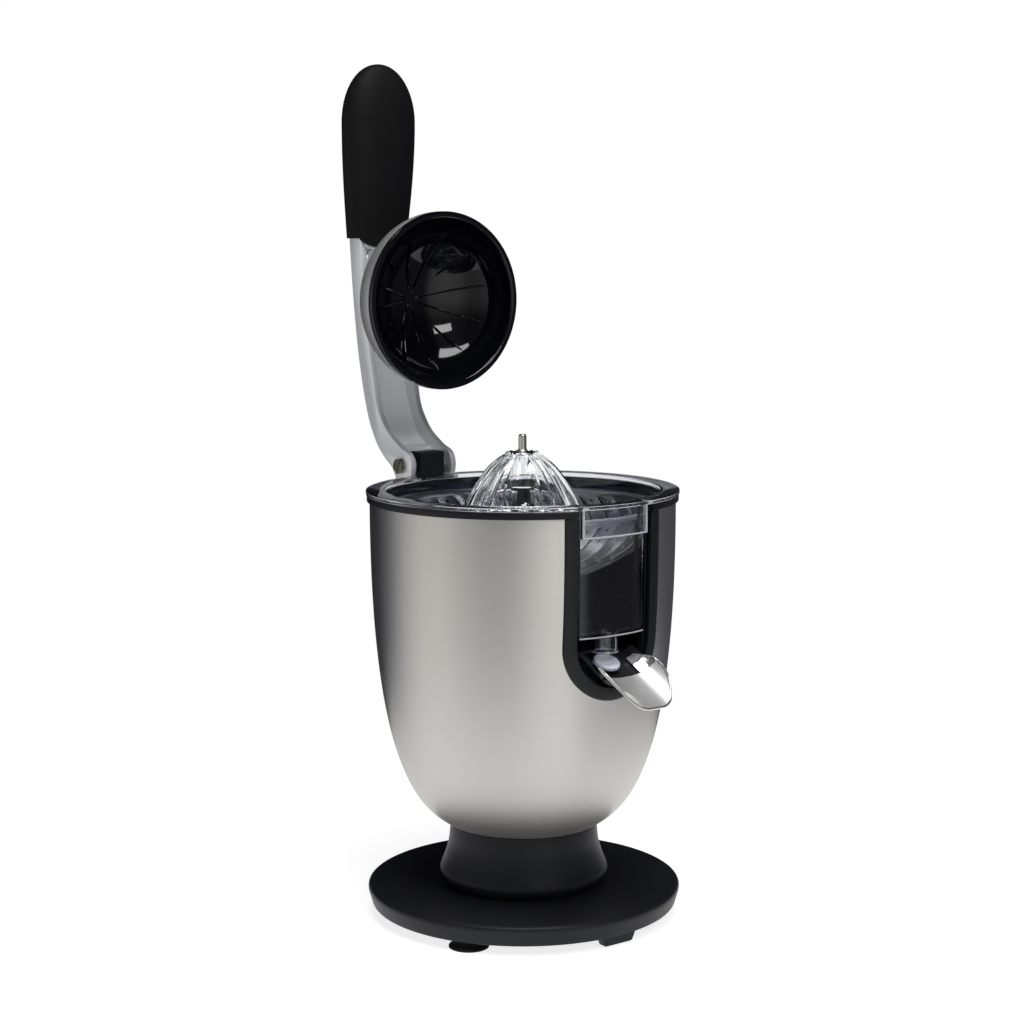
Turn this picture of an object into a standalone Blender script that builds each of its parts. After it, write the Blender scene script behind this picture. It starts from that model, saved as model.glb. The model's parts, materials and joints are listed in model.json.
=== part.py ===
"""Citrus press juicer: steel bowl on a round base, lever with press cup, clear
juice container, strainer, reamer cone, tilting drip-stop spout and a geared motor.

Units are metres. +Z is up, the spout points to -Y and the lever hinge is at +Y.
Design lengths are written in millimetres and scaled by MM.
"""
import math

import bmesh
import bpy
from mathutils import Matrix, Vector

MM = 0.001
GAP = 0.3  # clearance between pieces that touch

# The body axis stands this far in front of the origin, which is the bottom
# centre of the whole object's box.
AXIS_Y = -22.5

# base
BASE_R = 96.7
BASE_TOP = 18.0
SKIRT_Z = 5.7
SKIRT_R = 93.6
FOOT_RING_R = 82.0
FOOT_R = 12.0
FOOT_ANGLES = {"front_left": 210.0, "front_right": 330.0, "rear": 90.0}
SCREW_RING_R = 62.0

# neck
NECK_BOTTOM = BASE_TOP + GAP
NECK_TOP = 55.9
TUBE_R = 20.0

# housing: r = HOUSING_R * (1 - t ** P) ** (1 / Q), t = (HOUSING_Z - z) / HOUSING_H
HOUSING_R = 92.8
HOUSING_Z = 257.0
HOUSING_H = 205.15
HOUSING_P = 2.43
HOUSING_Q = 4.16
HOUSING_BOTTOM = 56.2
HOUSING_TOP = 255.1
SHEET = 0.8

# slot for the spout and window
SLOT_HALF = 34.5
SLOT_INNER = 26.5
SLOT_CENTRE_Z = 181.0
LINER_INNER = 25.0

# rim
RING_R = 94.5
RING_BOTTOM = HOUSING_TOP + GAP
RING_TOP = 259.4
FLANGE_R = 95.0
FLANGE_BOTTOM = RING_TOP + GAP
FLANGE_TOP = 262.0

# inner tub and gearbox
TUB_FLOOR_Z = 150.0
TUB_FLOOR = 2.5
TOWER_R = 13.0
TOWER_TOP = 176.0
CASE_R = 73.5
CASE_FLOOR_Z = 111.0

# clear container
WALL_R = 85.0
WALL_T = 1.7
STEP_Z = 249.4
WELL_FLOOR_Z = 184.2
WELL_FLOOR_T = 1.8
WINDOW_HALF = 24.0
WINDOW_R = 88.8
LIP_BOTTOM = 243.0
LIP_R = 91.8
OUTLET_Y = -79.5
OUTLET_R = 8.1
OUTLET_BOTTOM = 173.8
CHIMNEY_R = 11.0
CHIMNEY_TOP = 216.0

# strainer
STRAINER_R = 82.9
STRAINER_TOP = 252.6
STRAINER_HOLE = 12.2

# reamer cone
CONE_RIBS = 12
CONE_RIB_DEPTH = 2.2
CONE_BOTTOM = 220.5
CONE_TOP = 284.3
PIN_R = 2.5
PIN_TOP = 294.8
HUB_R = 7.5
SPINDLE_R = 4.0
HEX_R = 4.4
HEX_Z = 212.0
SPINDLE_TOP = 262.0
SPINDLE_BOTTOM = 129.0
COLLAR_Z = 144.0
COLLAR_R = 12.0

# gears
MODULE = 1.875
PINION_TEETH = 8
WHEEL_TEETH = 32
BACKLASH = 0.7
IDLER_Y = (PINION_TEETH + WHEEL_TEETH) * MODULE / 2.0
STAGE1_Z = (118.0, 124.0)
STAGE2_Z = (128.0, 134.0)
MOTOR_R = 32.0

# lever hinge, arm and cup
HINGE_Y = 107.5
HINGE_Z = 266.8
HINGE_PIN_R = 3.5
BLOCK_HALF = 9.0
FORK_INNER = 13.7
ARM_HALF = 17.3
CUP_Y = 80.1
CUP_Z = 372.8
CUP_R = 55.9
CUP_DEPTH = 41.0
CUP_T = 2.0
SHELL_DEPTH = 45.5

# spout, drawn level and then tipped down by SPOUT_TILT about its rod
SPOUT_Y = -70.0
SPOUT_Z = 166.0
SPOUT_TILT = 25.0
ROD_R = 1.5
TROUGH_HALF = 21.0
TROUGH_DEPTH = 9.0
TROUGH_FLOOR = 8.0
TROUGH_START = -27.0
TROUGH_END = -58.2
RIM_LEVEL = 17.0
CARRIER_HALF = 20.6
CARRIER_TOP = 12.8
DISC_R = 8.3
DISC_TOP = 7.5


# ---------------------------------------------------------------- helpers
def clear_scene():
    for obj in list(bpy.data.objects):
        bpy.data.objects.remove(obj, do_unlink=True)


def make_collection(name):
    coll = bpy.data.collections.new(name)
    bpy.context.scene.collection.children.link(coll)
    return coll


clear_scene()
PARTS = make_collection("citrus_press_juicer")
CUTTERS = make_collection("cutters")
AXIS = bpy.data.objects.new("body_axis", None)
AXIS.location = (0.0, AXIS_Y * MM, 0.0)
PARTS.objects.link(AXIS)


def material(name, colour, roughness, metallic=0.0, alpha=1.0):
    mat = bpy.data.materials.new(name)
    mat.use_nodes = True
    shader = mat.node_tree.nodes["Principled BSDF"]
    shader.inputs["Base Color"].default_value = (*colour, 1.0)
    shader.inputs["Roughness"].default_value = roughness
    shader.inputs["Metallic"].default_value = metallic
    shader.inputs["Alpha"].default_value = alpha
    return mat


STEEL = material("brushed_steel", (0.62, 0.60, 0.57), 0.32, 1.0)
POLISHED = material("polished_steel", (0.75, 0.74, 0.72), 0.12, 1.0)
CAST = material("cast_aluminium", (0.55, 0.56, 0.57), 0.38, 1.0)
BLACK = material("black_plastic", (0.018, 0.018, 0.020), 0.45)
GLOSS = material("gloss_black", (0.008, 0.008, 0.010), 0.08)
GRIP = material("soft_touch", (0.015, 0.015, 0.016), 0.65)
RUBBER = material("rubber", (0.02, 0.02, 0.02), 0.80)
CLEAR = material("clear_plastic", (0.90, 0.92, 0.95), 0.05, 0.0, 0.35)
SILICONE = material("silicone", (0.42, 0.42, 0.55), 0.50)
GEAR = material("gear_nylon", (0.80, 0.78, 0.72), 0.45)
ZINC = material("zinc_steel", (0.55, 0.55, 0.55), 0.35, 1.0)


def add_object(name, mesh, mat, coll=None, loc=(0, 0, 0), rot=(0, 0, 0)):
    """Places a mesh in a collection, under the body axis, in millimetres."""
    obj = bpy.data.objects.new(name, mesh)
    coll = coll or PARTS
    coll.objects.link(obj)
    obj.parent = AXIS
    obj.location = [v * MM for v in loc]
    obj.rotation_euler = rot
    if mat is not None:
        mesh.materials.append(mat)
    return obj


def as_cutter(obj):
    """Moves an object to the cutters, where it shapes a part but is no part."""
    for coll in list(obj.users_collection):
        coll.objects.unlink(obj)
    CUTTERS.objects.link(obj)
    obj.hide_render = True
    obj.display_type = "WIRE"
    return obj


def boolean(obj, cutter, operation="DIFFERENCE"):
    mod = obj.modifiers.new(operation.lower() + "_" + cutter.name, "BOOLEAN")
    mod.operation = operation
    mod.solver = "EXACT"
    mod.object = as_cutter(cutter)
    return obj


def smooth(obj, angle=35.0):
    obj.data.shade_smooth()
    obj.data.set_sharp_from_angle(angle=math.radians(angle))
    return obj


def profile_mesh(name, points, closed, phase=0.0):
    """Edges through (radius, height) points in a plane through the Z axis."""
    mesh = bpy.data.meshes.new(name)
    c, s = math.cos(phase), math.sin(phase)
    verts = [(r * c * MM, r * s * MM, z * MM) for r, z in points]
    edges = [(i, i + 1) for i in range(len(points) - 1)]
    if closed:
        edges.append((len(points) - 1, 0))
    mesh.from_pydata(verts, edges, [])
    return mesh


def turned(name, points, mat, steps=48, closed=True, loc=(0, 0, 0), rot=(0, 0, 0), phase=0.0):
    """A profile turned about Z. It runs down the outer side, then up the inner."""
    obj = add_object(name, profile_mesh(name, points, closed, phase), mat, None, loc, rot)
    mod = obj.modifiers.new("turn", "SCREW")
    mod.angle = math.tau
    mod.steps = steps
    mod.render_steps = steps
    mod.use_merge_vertices = True
    mod.merge_threshold = 0.00001
    return obj


def disc(name, radius, low, high, mat, steps=24, at=(0.0, 0.0)):
    """A solid cylinder between two heights."""
    points = [(0, high), (radius, high), (radius, low), (0, low)]
    phase = 0.0 if mat else 0.11
    return turned(name, points, mat, steps, False, (at[0], at[1], 0), phase=phase)


def ring(name, outer, inner, low, high, mat, steps=24, at=(0.0, 0.0)):
    points = [(outer, high), (outer, low), (inner, low), (inner, high)]
    return turned(name, points, mat, steps, True, (at[0], at[1], 0))


def rod_x(name, radius, low, high, mat, y, z, steps=16):
    """A solid cylinder along X."""
    points = [(0, high), (radius, high), (radius, low), (0, low)]
    turn = (0, math.pi / 2, 0)
    return turned(name, points, mat, steps, False, (0, y, z), turn, 0.0 if mat else 0.11)


def rod_y(name, radius, low, high, mat, x, z, steps=16):
    """A solid cylinder along Y."""
    points = [(0, -low), (radius, -low), (radius, -high), (0, -high)]
    turn = (math.pi / 2, 0, 0)
    return turned(name, points, mat, steps, False, (x, 0, z), turn, 0.0 if mat else 0.11)


def box(name, low, high, mat, bevel=0.0):
    """An upright box between two corners."""
    mesh = bpy.data.meshes.new(name)
    bm = bmesh.new()
    bmesh.ops.create_cube(bm, size=1.0)
    size = [(b - a) * MM for a, b in zip(low, high)]
    bmesh.ops.scale(bm, vec=size, verts=bm.verts)
    bm.to_mesh(mesh)
    bm.free()
    centre = [(a + b) / 2.0 for a, b in zip(low, high)]
    obj = add_object(name, mesh, mat, None, centre)
    if bevel:
        mod = obj.modifiers.new("edges", "BEVEL")
        mod.width = bevel * MM
        mod.segments = 2
    return obj


def curve_mesh(curve):
    """The welded mesh of a curve."""
    temp = bpy.data.objects.new(curve.name, curve)
    CUTTERS.objects.link(temp)
    bpy.context.view_layer.update()
    graph = bpy.context.evaluated_depsgraph_get()
    mesh = bpy.data.meshes.new_from_object(temp.evaluated_get(graph))
    mesh.name = curve.name
    mesh.materials.clear()
    bpy.data.objects.remove(temp, do_unlink=True)
    bm = bmesh.new()
    bm.from_mesh(mesh)
    bmesh.ops.remove_doubles(bm, verts=bm.verts, dist=0.000001)
    bm.to_mesh(mesh)
    bm.free()
    return mesh


def prism(name, outline, low, high, mat, plane="YZ", loc=(0, 0, 0), rot=(0, 0, 0)):
    """A closed outline extruded across its plane: YZ along X, XZ along Y, XY up."""
    curve = bpy.data.curves.new(name, "CURVE")
    curve.dimensions = "2D"
    curve.fill_mode = "BOTH"
    curve.extrude = (high - low) / 2.0 * MM
    spline = curve.splines.new("POLY")
    spline.points.add(len(outline) - 1)
    for point, (a, b) in zip(spline.points, outline):
        point.co = (a * MM, b * MM, 0.0, 1.0)
    spline.use_cyclic_u = True
    mesh = curve_mesh(curve)
    bm = bmesh.new()
    bm.from_mesh(mesh)
    middle = (low + high) / 2.0 * MM
    turn = {
        "XY": Matrix.Identity(3),
        "YZ": Matrix(((0, 0, 1), (1, 0, 0), (0, 1, 0))),
        "XZ": Matrix(((1, 0, 0), (0, 0, -1), (0, 1, 0))),
    }[plane]
    shift = {"XY": (0, 0, middle), "YZ": (middle, 0, 0), "XZ": (0, middle, 0)}[plane]
    for vert in bm.verts:
        vert.co = turn @ vert.co + Vector(shift)
    bmesh.ops.recalc_face_normals(bm, faces=bm.faces)
    bm.to_mesh(mesh)
    bm.free()
    return add_object(name, mesh, mat, None, loc, rot)


def arc(centre, radius, start, end, steps):
    """Points on an arc, angles in degrees."""
    out = []
    for i in range(steps + 1):
        a = math.radians(start + (end - start) * i / steps)
        out.append((centre[0] + radius * math.cos(a), centre[1] + radius * math.sin(a)))
    return out


def smooth_line(points, per_span=4):
    """A Catmull-Rom line through the points."""
    out = []
    for i in range(len(points) - 1):
        p0 = points[max(i - 1, 0)]
        p1, p2 = points[i], points[i + 1]
        p3 = points[min(i + 2, len(points) - 1)]
        for k in range(per_span):
            t = k / per_span
            out.append(tuple(
                0.5 * (2 * b + (c - a) * t + (2 * a - 5 * b + 4 * c - d) * t * t
                       + (3 * b - a - 3 * c + d) * t ** 3)
                for a, b, c, d in zip(p0, p1, p2, p3)
            ))
    out.append(points[-1])
    return out


def housing_radius(z):
    t = min((HOUSING_Z - z) / HOUSING_H, 0.985)
    return HOUSING_R * (1.0 - max(t, 0.0) ** HOUSING_P) ** (1.0 / HOUSING_Q)


def slot_outline(half, top):
    """An upright U: a half circle below and straight sides to the top."""
    return [(half, top)] + arc((0, SLOT_CENTRE_Z), half, 0, -180, 16) + [(-half, top)]


# ---------------------------------------------------------------- base
def build_base():
    points = [(TUBE_R + GAP, BASE_TOP), (94.2, BASE_TOP), (96.2, 16.7), (BASE_R, 14.9),
              (SKIRT_R, SKIRT_Z), (91.1, SKIRT_Z), (92.0, 15.0), (TUBE_R + GAP, 15.0)]
    base = turned("base_disc", points, BLACK, 36)
    tab_half = SKIRT_R * math.tan(math.radians(8.5))
    tab_low = SKIRT_R * math.tan(math.radians(6.5))
    tab = prism("front_tab", [(-tab_half, 9.0), (-tab_low, 1.0), (tab_low, 1.0), (tab_half, 9.0)],
                -93.0, -88.4, None, "XZ")
    boolean(base, tab, "UNION")
    for i in range(3):
        a = math.radians(30.0 + 120.0 * i)
        at = (SCREW_RING_R * math.cos(a), SCREW_RING_R * math.sin(a))
        boolean(base, ring("boss_%d" % (i + 1), 4.0, 1.9, 8.6, 15.6, None, 8, at), "UNION")
        thread = disc("base_screw_%d" % (i + 1), 3.2, 4.4, 5.7, ZINC, 10, at)
        boolean(thread, disc("thread_%d" % (i + 1), 1.4, 5.0, 13.5, None, 8, at), "UNION")
    smooth(base)

    plate = disc("base_plate", 87.6, 6.0, 8.2, BLACK, 36)
    for i in range(3):
        a = math.radians(30.0 + 120.0 * i)
        at = (SCREW_RING_R * math.cos(a), SCREW_RING_R * math.sin(a))
        boolean(plate, disc("plate_hole_%d" % (i + 1), 1.9, 5.0, 9.0, None, 8, at))
    foot = [(0, 5.7), (6.8, 5.7), (7.2, 3.6), (FOOT_R, 1.0), (FOOT_R, 0.0), (7.0, 0.0),
            (0, 0.8)]
    for name, angle in FOOT_ANGLES.items():
        a = math.radians(angle)
        at = (FOOT_RING_R * math.cos(a), FOOT_RING_R * math.sin(a), 0)
        smooth(turned("suction_foot_" + name, foot, RUBBER, 18, False, at))

    gland = rod_y("cord_gland", 3.4, 88.0, 97.4, RUBBER, 0, 11.0, 12)
    hole = rod_y("gland_bore", 2.0, 80.0, 99.0, None, 0, 11.0, 10)
    boolean(gland, hole)
    boolean(base, rod_y("gland_seat", 3.4 + GAP, 89.0, 99.0, None, 0, 11.0, 12))
    smooth(gland)


def build_neck():
    points = [(45.0, NECK_TOP), (46.3, 42.4), (48.2, 35.4), (51.1, 29.4), (52.6, 25.0),
              (47.6, NECK_BOTTOM), (44.4, NECK_BOTTOM), (48.2, 25.4),
              (43.4, 42.4), (42.0, NECK_TOP)]
    smooth(turned("neck_collar", points, BLACK, 28))
    tube = [(TUBE_R, 63.0), (TUBE_R, 14.7), (27.0, 14.7), (27.0, 12.0), (16.5, 12.0), (16.5, 63.0)]
    smooth(turned("neck_tube", tube, ZINC, 18))
    nut = ring("neck_nut", 29.0, TUBE_R + GAP, HOUSING_BOTTOM + SHEET + GAP, 62.0, ZINC, 18)
    smooth(nut)


# ---------------------------------------------------------------- housing
def housing_profile(top, bottom, offset, count):
    """Points down the housing wall, closer together where it curves most."""
    out = []
    for i in range(count + 1):
        s = math.sin(0.5 * math.pi * i / count)
        z = top + (bottom - top) * s
        out.append((housing_radius(z) + offset, z))
    return out


def build_housing():
    outer = housing_profile(HOUSING_TOP, 60.0, 0.0, 7)
    outer.append((45.2, HOUSING_BOTTOM))
    inner = [(r - SHEET * 1.15, z + 0.1) for r, z in reversed(outer[1:-1:2])]
    points = outer + [(TUBE_R + GAP, HOUSING_BOTTOM), (TUBE_R + GAP, HOUSING_BOTTOM + SHEET),
                      (44.6, HOUSING_BOTTOM + SHEET)] + inner
    points.append((outer[0][0] - SHEET, HOUSING_TOP))
    shell = turned("housing_shell", points, STEEL, 36)
    cut = prism("housing_slot", slot_outline(SLOT_HALF + GAP, 270.0), -120.0, -50.0, None, "XZ")
    boolean(shell, cut)
    smooth(shell)

    ring_points = [(RING_R - 0.8, RING_TOP), (RING_R, RING_TOP - 0.8), (RING_R, RING_BOTTOM),
                   (86.4, RING_BOTTOM), (86.4, RING_TOP)]
    rim = turned("top_ring", ring_points, BLACK, 36)
    cut = prism("ring_notch", slot_outline(SLOT_INNER, 270.0), -120.0, -50.0, None, "XZ")
    smooth(boolean(rim, cut))


def build_slot_frame():
    outer = housing_profile(HOUSING_TOP, 130.0, 0.9, 5)
    inner = [(r - 3.6, z) for r, z in reversed(outer)]
    frame = turned("slot_frame", outer + inner, BLACK, 72)
    hollow = slot_outline(SLOT_INNER, 262.0)
    rim = slot_outline(SLOT_HALF, 256.0)
    keep = prism("frame_outline", rim, -110.0, -60.0, None, "XZ")
    boolean(frame, keep, "INTERSECT")
    boolean(frame, prism("frame_hollow", hollow, -115.0, -55.0, None, "XZ"))
    smooth(frame)

    wall = [(housing_radius(z) - 2.9, z) for z in (HOUSING_TOP, 220.0, 185.0, 165.0, 150.0)]
    back = [(wall[4][0] - 3.0, 150.0), (wall[3][0] - 3.0, 165.0), (86.0, 183.0)]
    liner_points = wall + back + [(86.0, HOUSING_TOP)]
    liner = turned("slot_liner", liner_points, BLACK, 72)
    keep = prism("liner_outline", slot_outline(SLOT_INNER - GAP, 256.0), -110.0, -60.0, None, "XZ")
    boolean(liner, keep, "INTERSECT")
    hollow = slot_outline(LINER_INNER, 262.0)
    boolean(liner, prism("liner_hollow", hollow, -115.0, -55.0, None, "XZ"))
    smooth(liner)


def build_tub():
    tower_foot = TUB_FLOOR_Z + TUB_FLOOR
    points = [(88.6, HOUSING_TOP), (88.0, 185.0), (84.0, TUB_FLOOR_Z),
              (TOWER_R - 3.0, TUB_FLOOR_Z), (TOWER_R - 3.0, TOWER_TOP), (TOWER_R, TOWER_TOP),
              (TOWER_R, tower_foot), (82.0, tower_foot), (86.0, 185.0), (86.6, HOUSING_TOP)]
    tub = turned("inner_tub", points, BLACK, 30)
    cut = prism("tub_slot", slot_outline(SLOT_INNER + GAP, 270.0), -120.0, -60.0, None, "XZ")
    boolean(tub, cut)
    for side in (-1, 1):
        name = "left" if side < 0 else "right"
        low, high = sorted((side * 22.4, side * 25.4))
        post = box("spout_post_" + name, (low, SPOUT_Y - 4, tower_foot - 1),
                   (high, SPOUT_Y + 4, SPOUT_Z + 4), None)
        boolean(tub, post, "UNION")
    boolean(tub, rod_x("rod_seat", ROD_R + 0.3, -30, 30, None, SPOUT_Y, SPOUT_Z, 10))
    smooth(tub)
    rod = rod_x("spout_rod", ROD_R, -25.4, 25.4, ZINC, SPOUT_Y, SPOUT_Z, 10)
    smooth(rod)

    bush = [(TOWER_R - 3.3, TOWER_TOP), (TOWER_R - 3.3, 166.0), (4.3, 166.0), (4.3, TOWER_TOP)]
    smooth(turned("spindle_bush", bush, ZINC, 16))
    low = TOWER_TOP + GAP
    seal = [(8.6, low + 3.2), (9.4, low), (4.3, low), (4.3, low + 3.2)]
    smooth(turned("shaft_seal", seal, RUBBER, 16))


# ---------------------------------------------------------------- hinge block
def build_hinge_block():
    front = 96.4
    head = arc((HINGE_Y, HINGE_Z), 9.2, -10, 95, 8)
    outline = head + [(front + 1.2, HINGE_Z + 9.2), (front, HINGE_Z + 8.0), (front, 244.0),
                      (90.0, 244.0), (90.0, 208.0), (100.0, 208.0), (104.0, 214.0), (107.0, 240.0)]
    block = prism("hinge_block", outline, -BLOCK_HALF, BLOCK_HALF, BLACK)
    pad = box("hinge_pad", (-16, 88, 208), (16, 98.5, 243.5), None, 2.0)
    boolean(block, pad, "UNION")
    seat = turned("hinge_seat", [(0, 256)] + housing_profile(256.0, 190.0, GAP, 5) + [(0, 190)],
                  None, 72, False)
    boolean(block, seat)
    boolean(block, rod_x("hinge_bore", HINGE_PIN_R + GAP, -20, 20, None, HINGE_Y, HINGE_Z, 16))
    for side in (-1, 1):
        at = side * 12.4
        name = "bracket_screw_" + ("left" if side < 0 else "right")
        boolean(block, rod_y(name + "_hole", 1.9, 80, 110, None, at, 226.0, 8))
        screw = rod_y(name, 3.2, 98.8, 100.4, ZINC, at, 226.0, 10)
        boolean(screw, rod_y(name + "_shank", 1.5, 93.8, 99.6, None, at, 226.0, 8), "UNION")
        smooth(screw)
    smooth(block)


# ---------------------------------------------------------------- drive
def gear_outline(teeth, phase):
    """A tooth outline with straight flanks, on the involute at the root and at the tip."""
    pitch = teeth * MODULE / 2.0
    base = pitch * math.cos(math.radians(20.0))
    tip = pitch + 0.68 * MODULE
    root = pitch - 1.15 * MODULE

    def involute(r):
        a = math.acos(min(1.0, base / max(r, base)))
        return math.tan(a) - a

    middle = math.pi / (2 * teeth) - BACKLASH / (2 * pitch) + involute(pitch)
    out = []
    for k in range(teeth):
        centre = math.tau * k / teeth + phase
        low, high = middle - involute(root), middle - involute(tip)
        for r, a in ((root, -low), (tip, -high), (tip, high), (root, low)):
            out.append((r * math.cos(centre + a), r * math.sin(centre + a)))
    return out


def gear(name, teeth, low, high, mat, at_y=0.0):
    phase = math.pi / teeth if teeth == PINION_TEETH else 0.0
    return prism(name, gear_outline(teeth, phase), low, high, mat, "XY", (0, at_y, 0))


def build_drive():
    case = [(CASE_R, 149.6), (CASE_R, CASE_FLOOR_Z), (8.0, CASE_FLOOR_Z), (8.0, 113.5),
            (CASE_R - 2.5, 113.5), (CASE_R - 2.5, 149.6)]
    case = turned("gearbox_case", case, BLACK, 28)
    smooth(case)
    can = [(0, 110.6), (9.0, 110.6), (9.0, 108.0), (MOTOR_R, 108.0), (MOTOR_R, 72.3), (0, 72.3)]
    can = turned("motor_can", can, ZINC, 18, False)
    boolean(can, disc("motor_shaft_way", 2.7, 100.0, 112.0, None, 12))
    smooth(can)
    cap = [(0, 72.0), (MOTOR_R, 72.0), (MOTOR_R, 69.0), (12.0, 65.0), (0, 65.0)]
    smooth(turned("motor_end_cap", cap, BLACK, 18, False))
    for side in (-1, 1):
        name = "motor_screw_" + ("left" if side < 0 else "right")
        at = (side * 20.0, 0.0)
        boolean(case, disc(name + "_hole", 1.9, 109.0, 115.0, None, 8, at))
        screw = disc(name, 3.2, 113.8, 115.6, ZINC, 10, at)
        boolean(screw, disc(name + "_shank", 1.5, 108.4, 114.5, None, 8, at), "UNION")

    shaft = gear("motor_pinion", PINION_TEETH, *STAGE1_Z, ZINC)
    boolean(shaft, disc("motor_shaft", 2.3, 101.0, 124.8, None, 12), "UNION")

    idler = gear("idler_gear", WHEEL_TEETH, *STAGE1_Z, GEAR, IDLER_Y)
    hub = gear("idler_pinion", PINION_TEETH, STAGE1_Z[1] - 1.0, STAGE2_Z[1] + 1.5, None, IDLER_Y)
    boolean(idler, hub, "UNION")
    boolean(idler, disc("idler_bore", 3.2, 110, 150, None, 12, (0, IDLER_Y)))
    pin = [(0, 146.0), (2.9, 146.0), (2.9, 116.5), (6.0, 116.5), (6.0, 113.8), (0, 113.8)]
    smooth(turned("idler_pin", pin, ZINC, 12, False, (0, IDLER_Y, 0)))

    wheel = gear("output_gear", WHEEL_TEETH, *STAGE2_Z, GEAR)
    boolean(wheel, disc("output_bore", SPINDLE_R + GAP, 120, 150, None, 16))
    build_spring()

    spindle = [(0, HEX_Z), (SPINDLE_R, HEX_Z), (SPINDLE_R, COLLAR_Z + 2.0),
               (COLLAR_R, COLLAR_Z + 2.0), (COLLAR_R, COLLAR_Z), (SPINDLE_R, COLLAR_Z),
               (SPINDLE_R, SPINDLE_BOTTOM), (0, SPINDLE_BOTTOM)]
    shaft = turned("spindle", spindle, ZINC, 12, False)
    boolean(shaft, disc("spindle_hex", HEX_R, HEX_Z - 2.0, SPINDLE_TOP, None, 6), "UNION")
    smooth(shaft)

    switch = box("start_switch", (-32, -5, 137.5), (-16, 5, 149.6), BLACK, 0.6)
    boolean(switch, box("switch_lever", (-17, -2.5, 140.2), (-8.5, 2.5, 140.9), None), "UNION")


def build_spring():
    """The return spring between the output gear and the spindle collar."""
    low = STAGE2_Z[1] + GAP + 0.5
    high = COLLAR_Z - GAP - 0.5
    turns = 3
    per_turn = 10
    count = turns * per_turn
    curve = bpy.data.curves.new("press_spring", "CURVE")
    curve.dimensions = "3D"
    curve.bevel_depth = 0.5 * MM
    curve.bevel_resolution = 0
    curve.use_fill_caps = True
    spline = curve.splines.new("POLY")
    spline.points.add(count)
    for i, point in enumerate(spline.points):
        a = math.tau * i / per_turn
        z = low + (high - low) * i / count
        point.co = (7.0 * MM * math.cos(a), 7.0 * MM * math.sin(a), z * MM, 1.0)
    mesh = curve_mesh(curve)
    return add_object("press_spring", mesh, ZINC)


# ---------------------------------------------------------------- container
def front_slab(name, solid, half, back=-80.4):
    """Keeps the front part of a turned solid, between X = -half and X = half."""
    outline = [(-half, back), (-half, -110.0), (half, -110.0), (half, back)]
    return boolean(solid, prism(name + "_side", outline, 150.0, 280.0, None, "XY"), "INTERSECT")


def build_container():
    floor_top = WELL_FLOOR_Z + WELL_FLOOR_T
    inner = WALL_R - WALL_T
    points = [(FLANGE_R - 0.7, FLANGE_TOP), (FLANGE_R, FLANGE_TOP - 0.7), (FLANGE_R, FLANGE_BOTTOM),
              (WALL_R, FLANGE_BOTTOM), (WALL_R - 1.0, WELL_FLOOR_Z), (CHIMNEY_R - 2.0, WELL_FLOOR_Z),
              (CHIMNEY_R - 2.0, CHIMNEY_TOP), (CHIMNEY_R, CHIMNEY_TOP), (CHIMNEY_R, floor_top),
              (inner - 3.0, floor_top), (inner - 1.8, STEP_Z), (inner, STEP_Z), (inner, FLANGE_TOP)]
    tank = turned("juice_container", points, CLEAR, 36)

    low = WELL_FLOOR_Z - 0.3
    block = turned("window_block", [(0, 260.9), (WINDOW_R, 260.9), (WINDOW_R, low), (0, low)],
                   None, 72, False, phase=0.02)
    boolean(tank, front_slab("window", block, WINDOW_HALF), "UNION")
    lip = ring("lip_block", LIP_R, LIP_R - 1.6, LIP_BOTTOM, 260.9, None, 72)
    boolean(tank, front_slab("lip", lip, WINDOW_HALF), "UNION")
    for side in (-1, 1):
        low_x, high_x = sorted((side * WINDOW_HALF, side * (WINDOW_HALF - WALL_T)))
        web = box("lip_side_%d" % side, (low_x, -89.0, LIP_BOTTOM), (high_x, -86.0, 260.9), None)
        boolean(tank, web, "UNION")
    deep = WINDOW_R - WALL_T
    hollow = turned("window_hollow", [(0, 270.0), (deep, 270.0), (deep, floor_top + 0.3),
                                      (0, floor_top + 0.3)], None, 72, False, phase=0.02)
    boolean(tank, front_slab("hollow", hollow, WINDOW_HALF - WALL_T, -66.0))

    at = (0, OUTLET_Y)
    boolean(tank, disc("outlet_tube", OUTLET_R, OUTLET_BOTTOM, floor_top - 0.5, None, 20, at), "UNION")
    boolean(tank, disc("outlet_bore", OUTLET_R - 1.6, OUTLET_BOTTOM - 2, floor_top + 3, None, 20, at))
    smooth(tank)


def build_strainer():
    sheet = 0.8
    rest = STEP_Z + GAP
    outer = [(STRAINER_R, STRAINER_TOP), (STRAINER_R, rest), (80.4, rest - 0.1), (79.0, 238.0),
             (73.8, 230.6), (58.0, 219.6), (40.0, 211.0), (STRAINER_HOLE, 201.9)]
    inner = [(r - 0.5 * sheet, z + sheet) for r, z in reversed(outer[2:])]
    inner += [(STRAINER_R - 1.2, rest + sheet), (STRAINER_R - 1.2, STRAINER_TOP)]
    inner[0] = (STRAINER_HOLE, 201.9 + sheet)
    smooth(turned("strainer", outer + inner, STEEL, 36))


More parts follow.
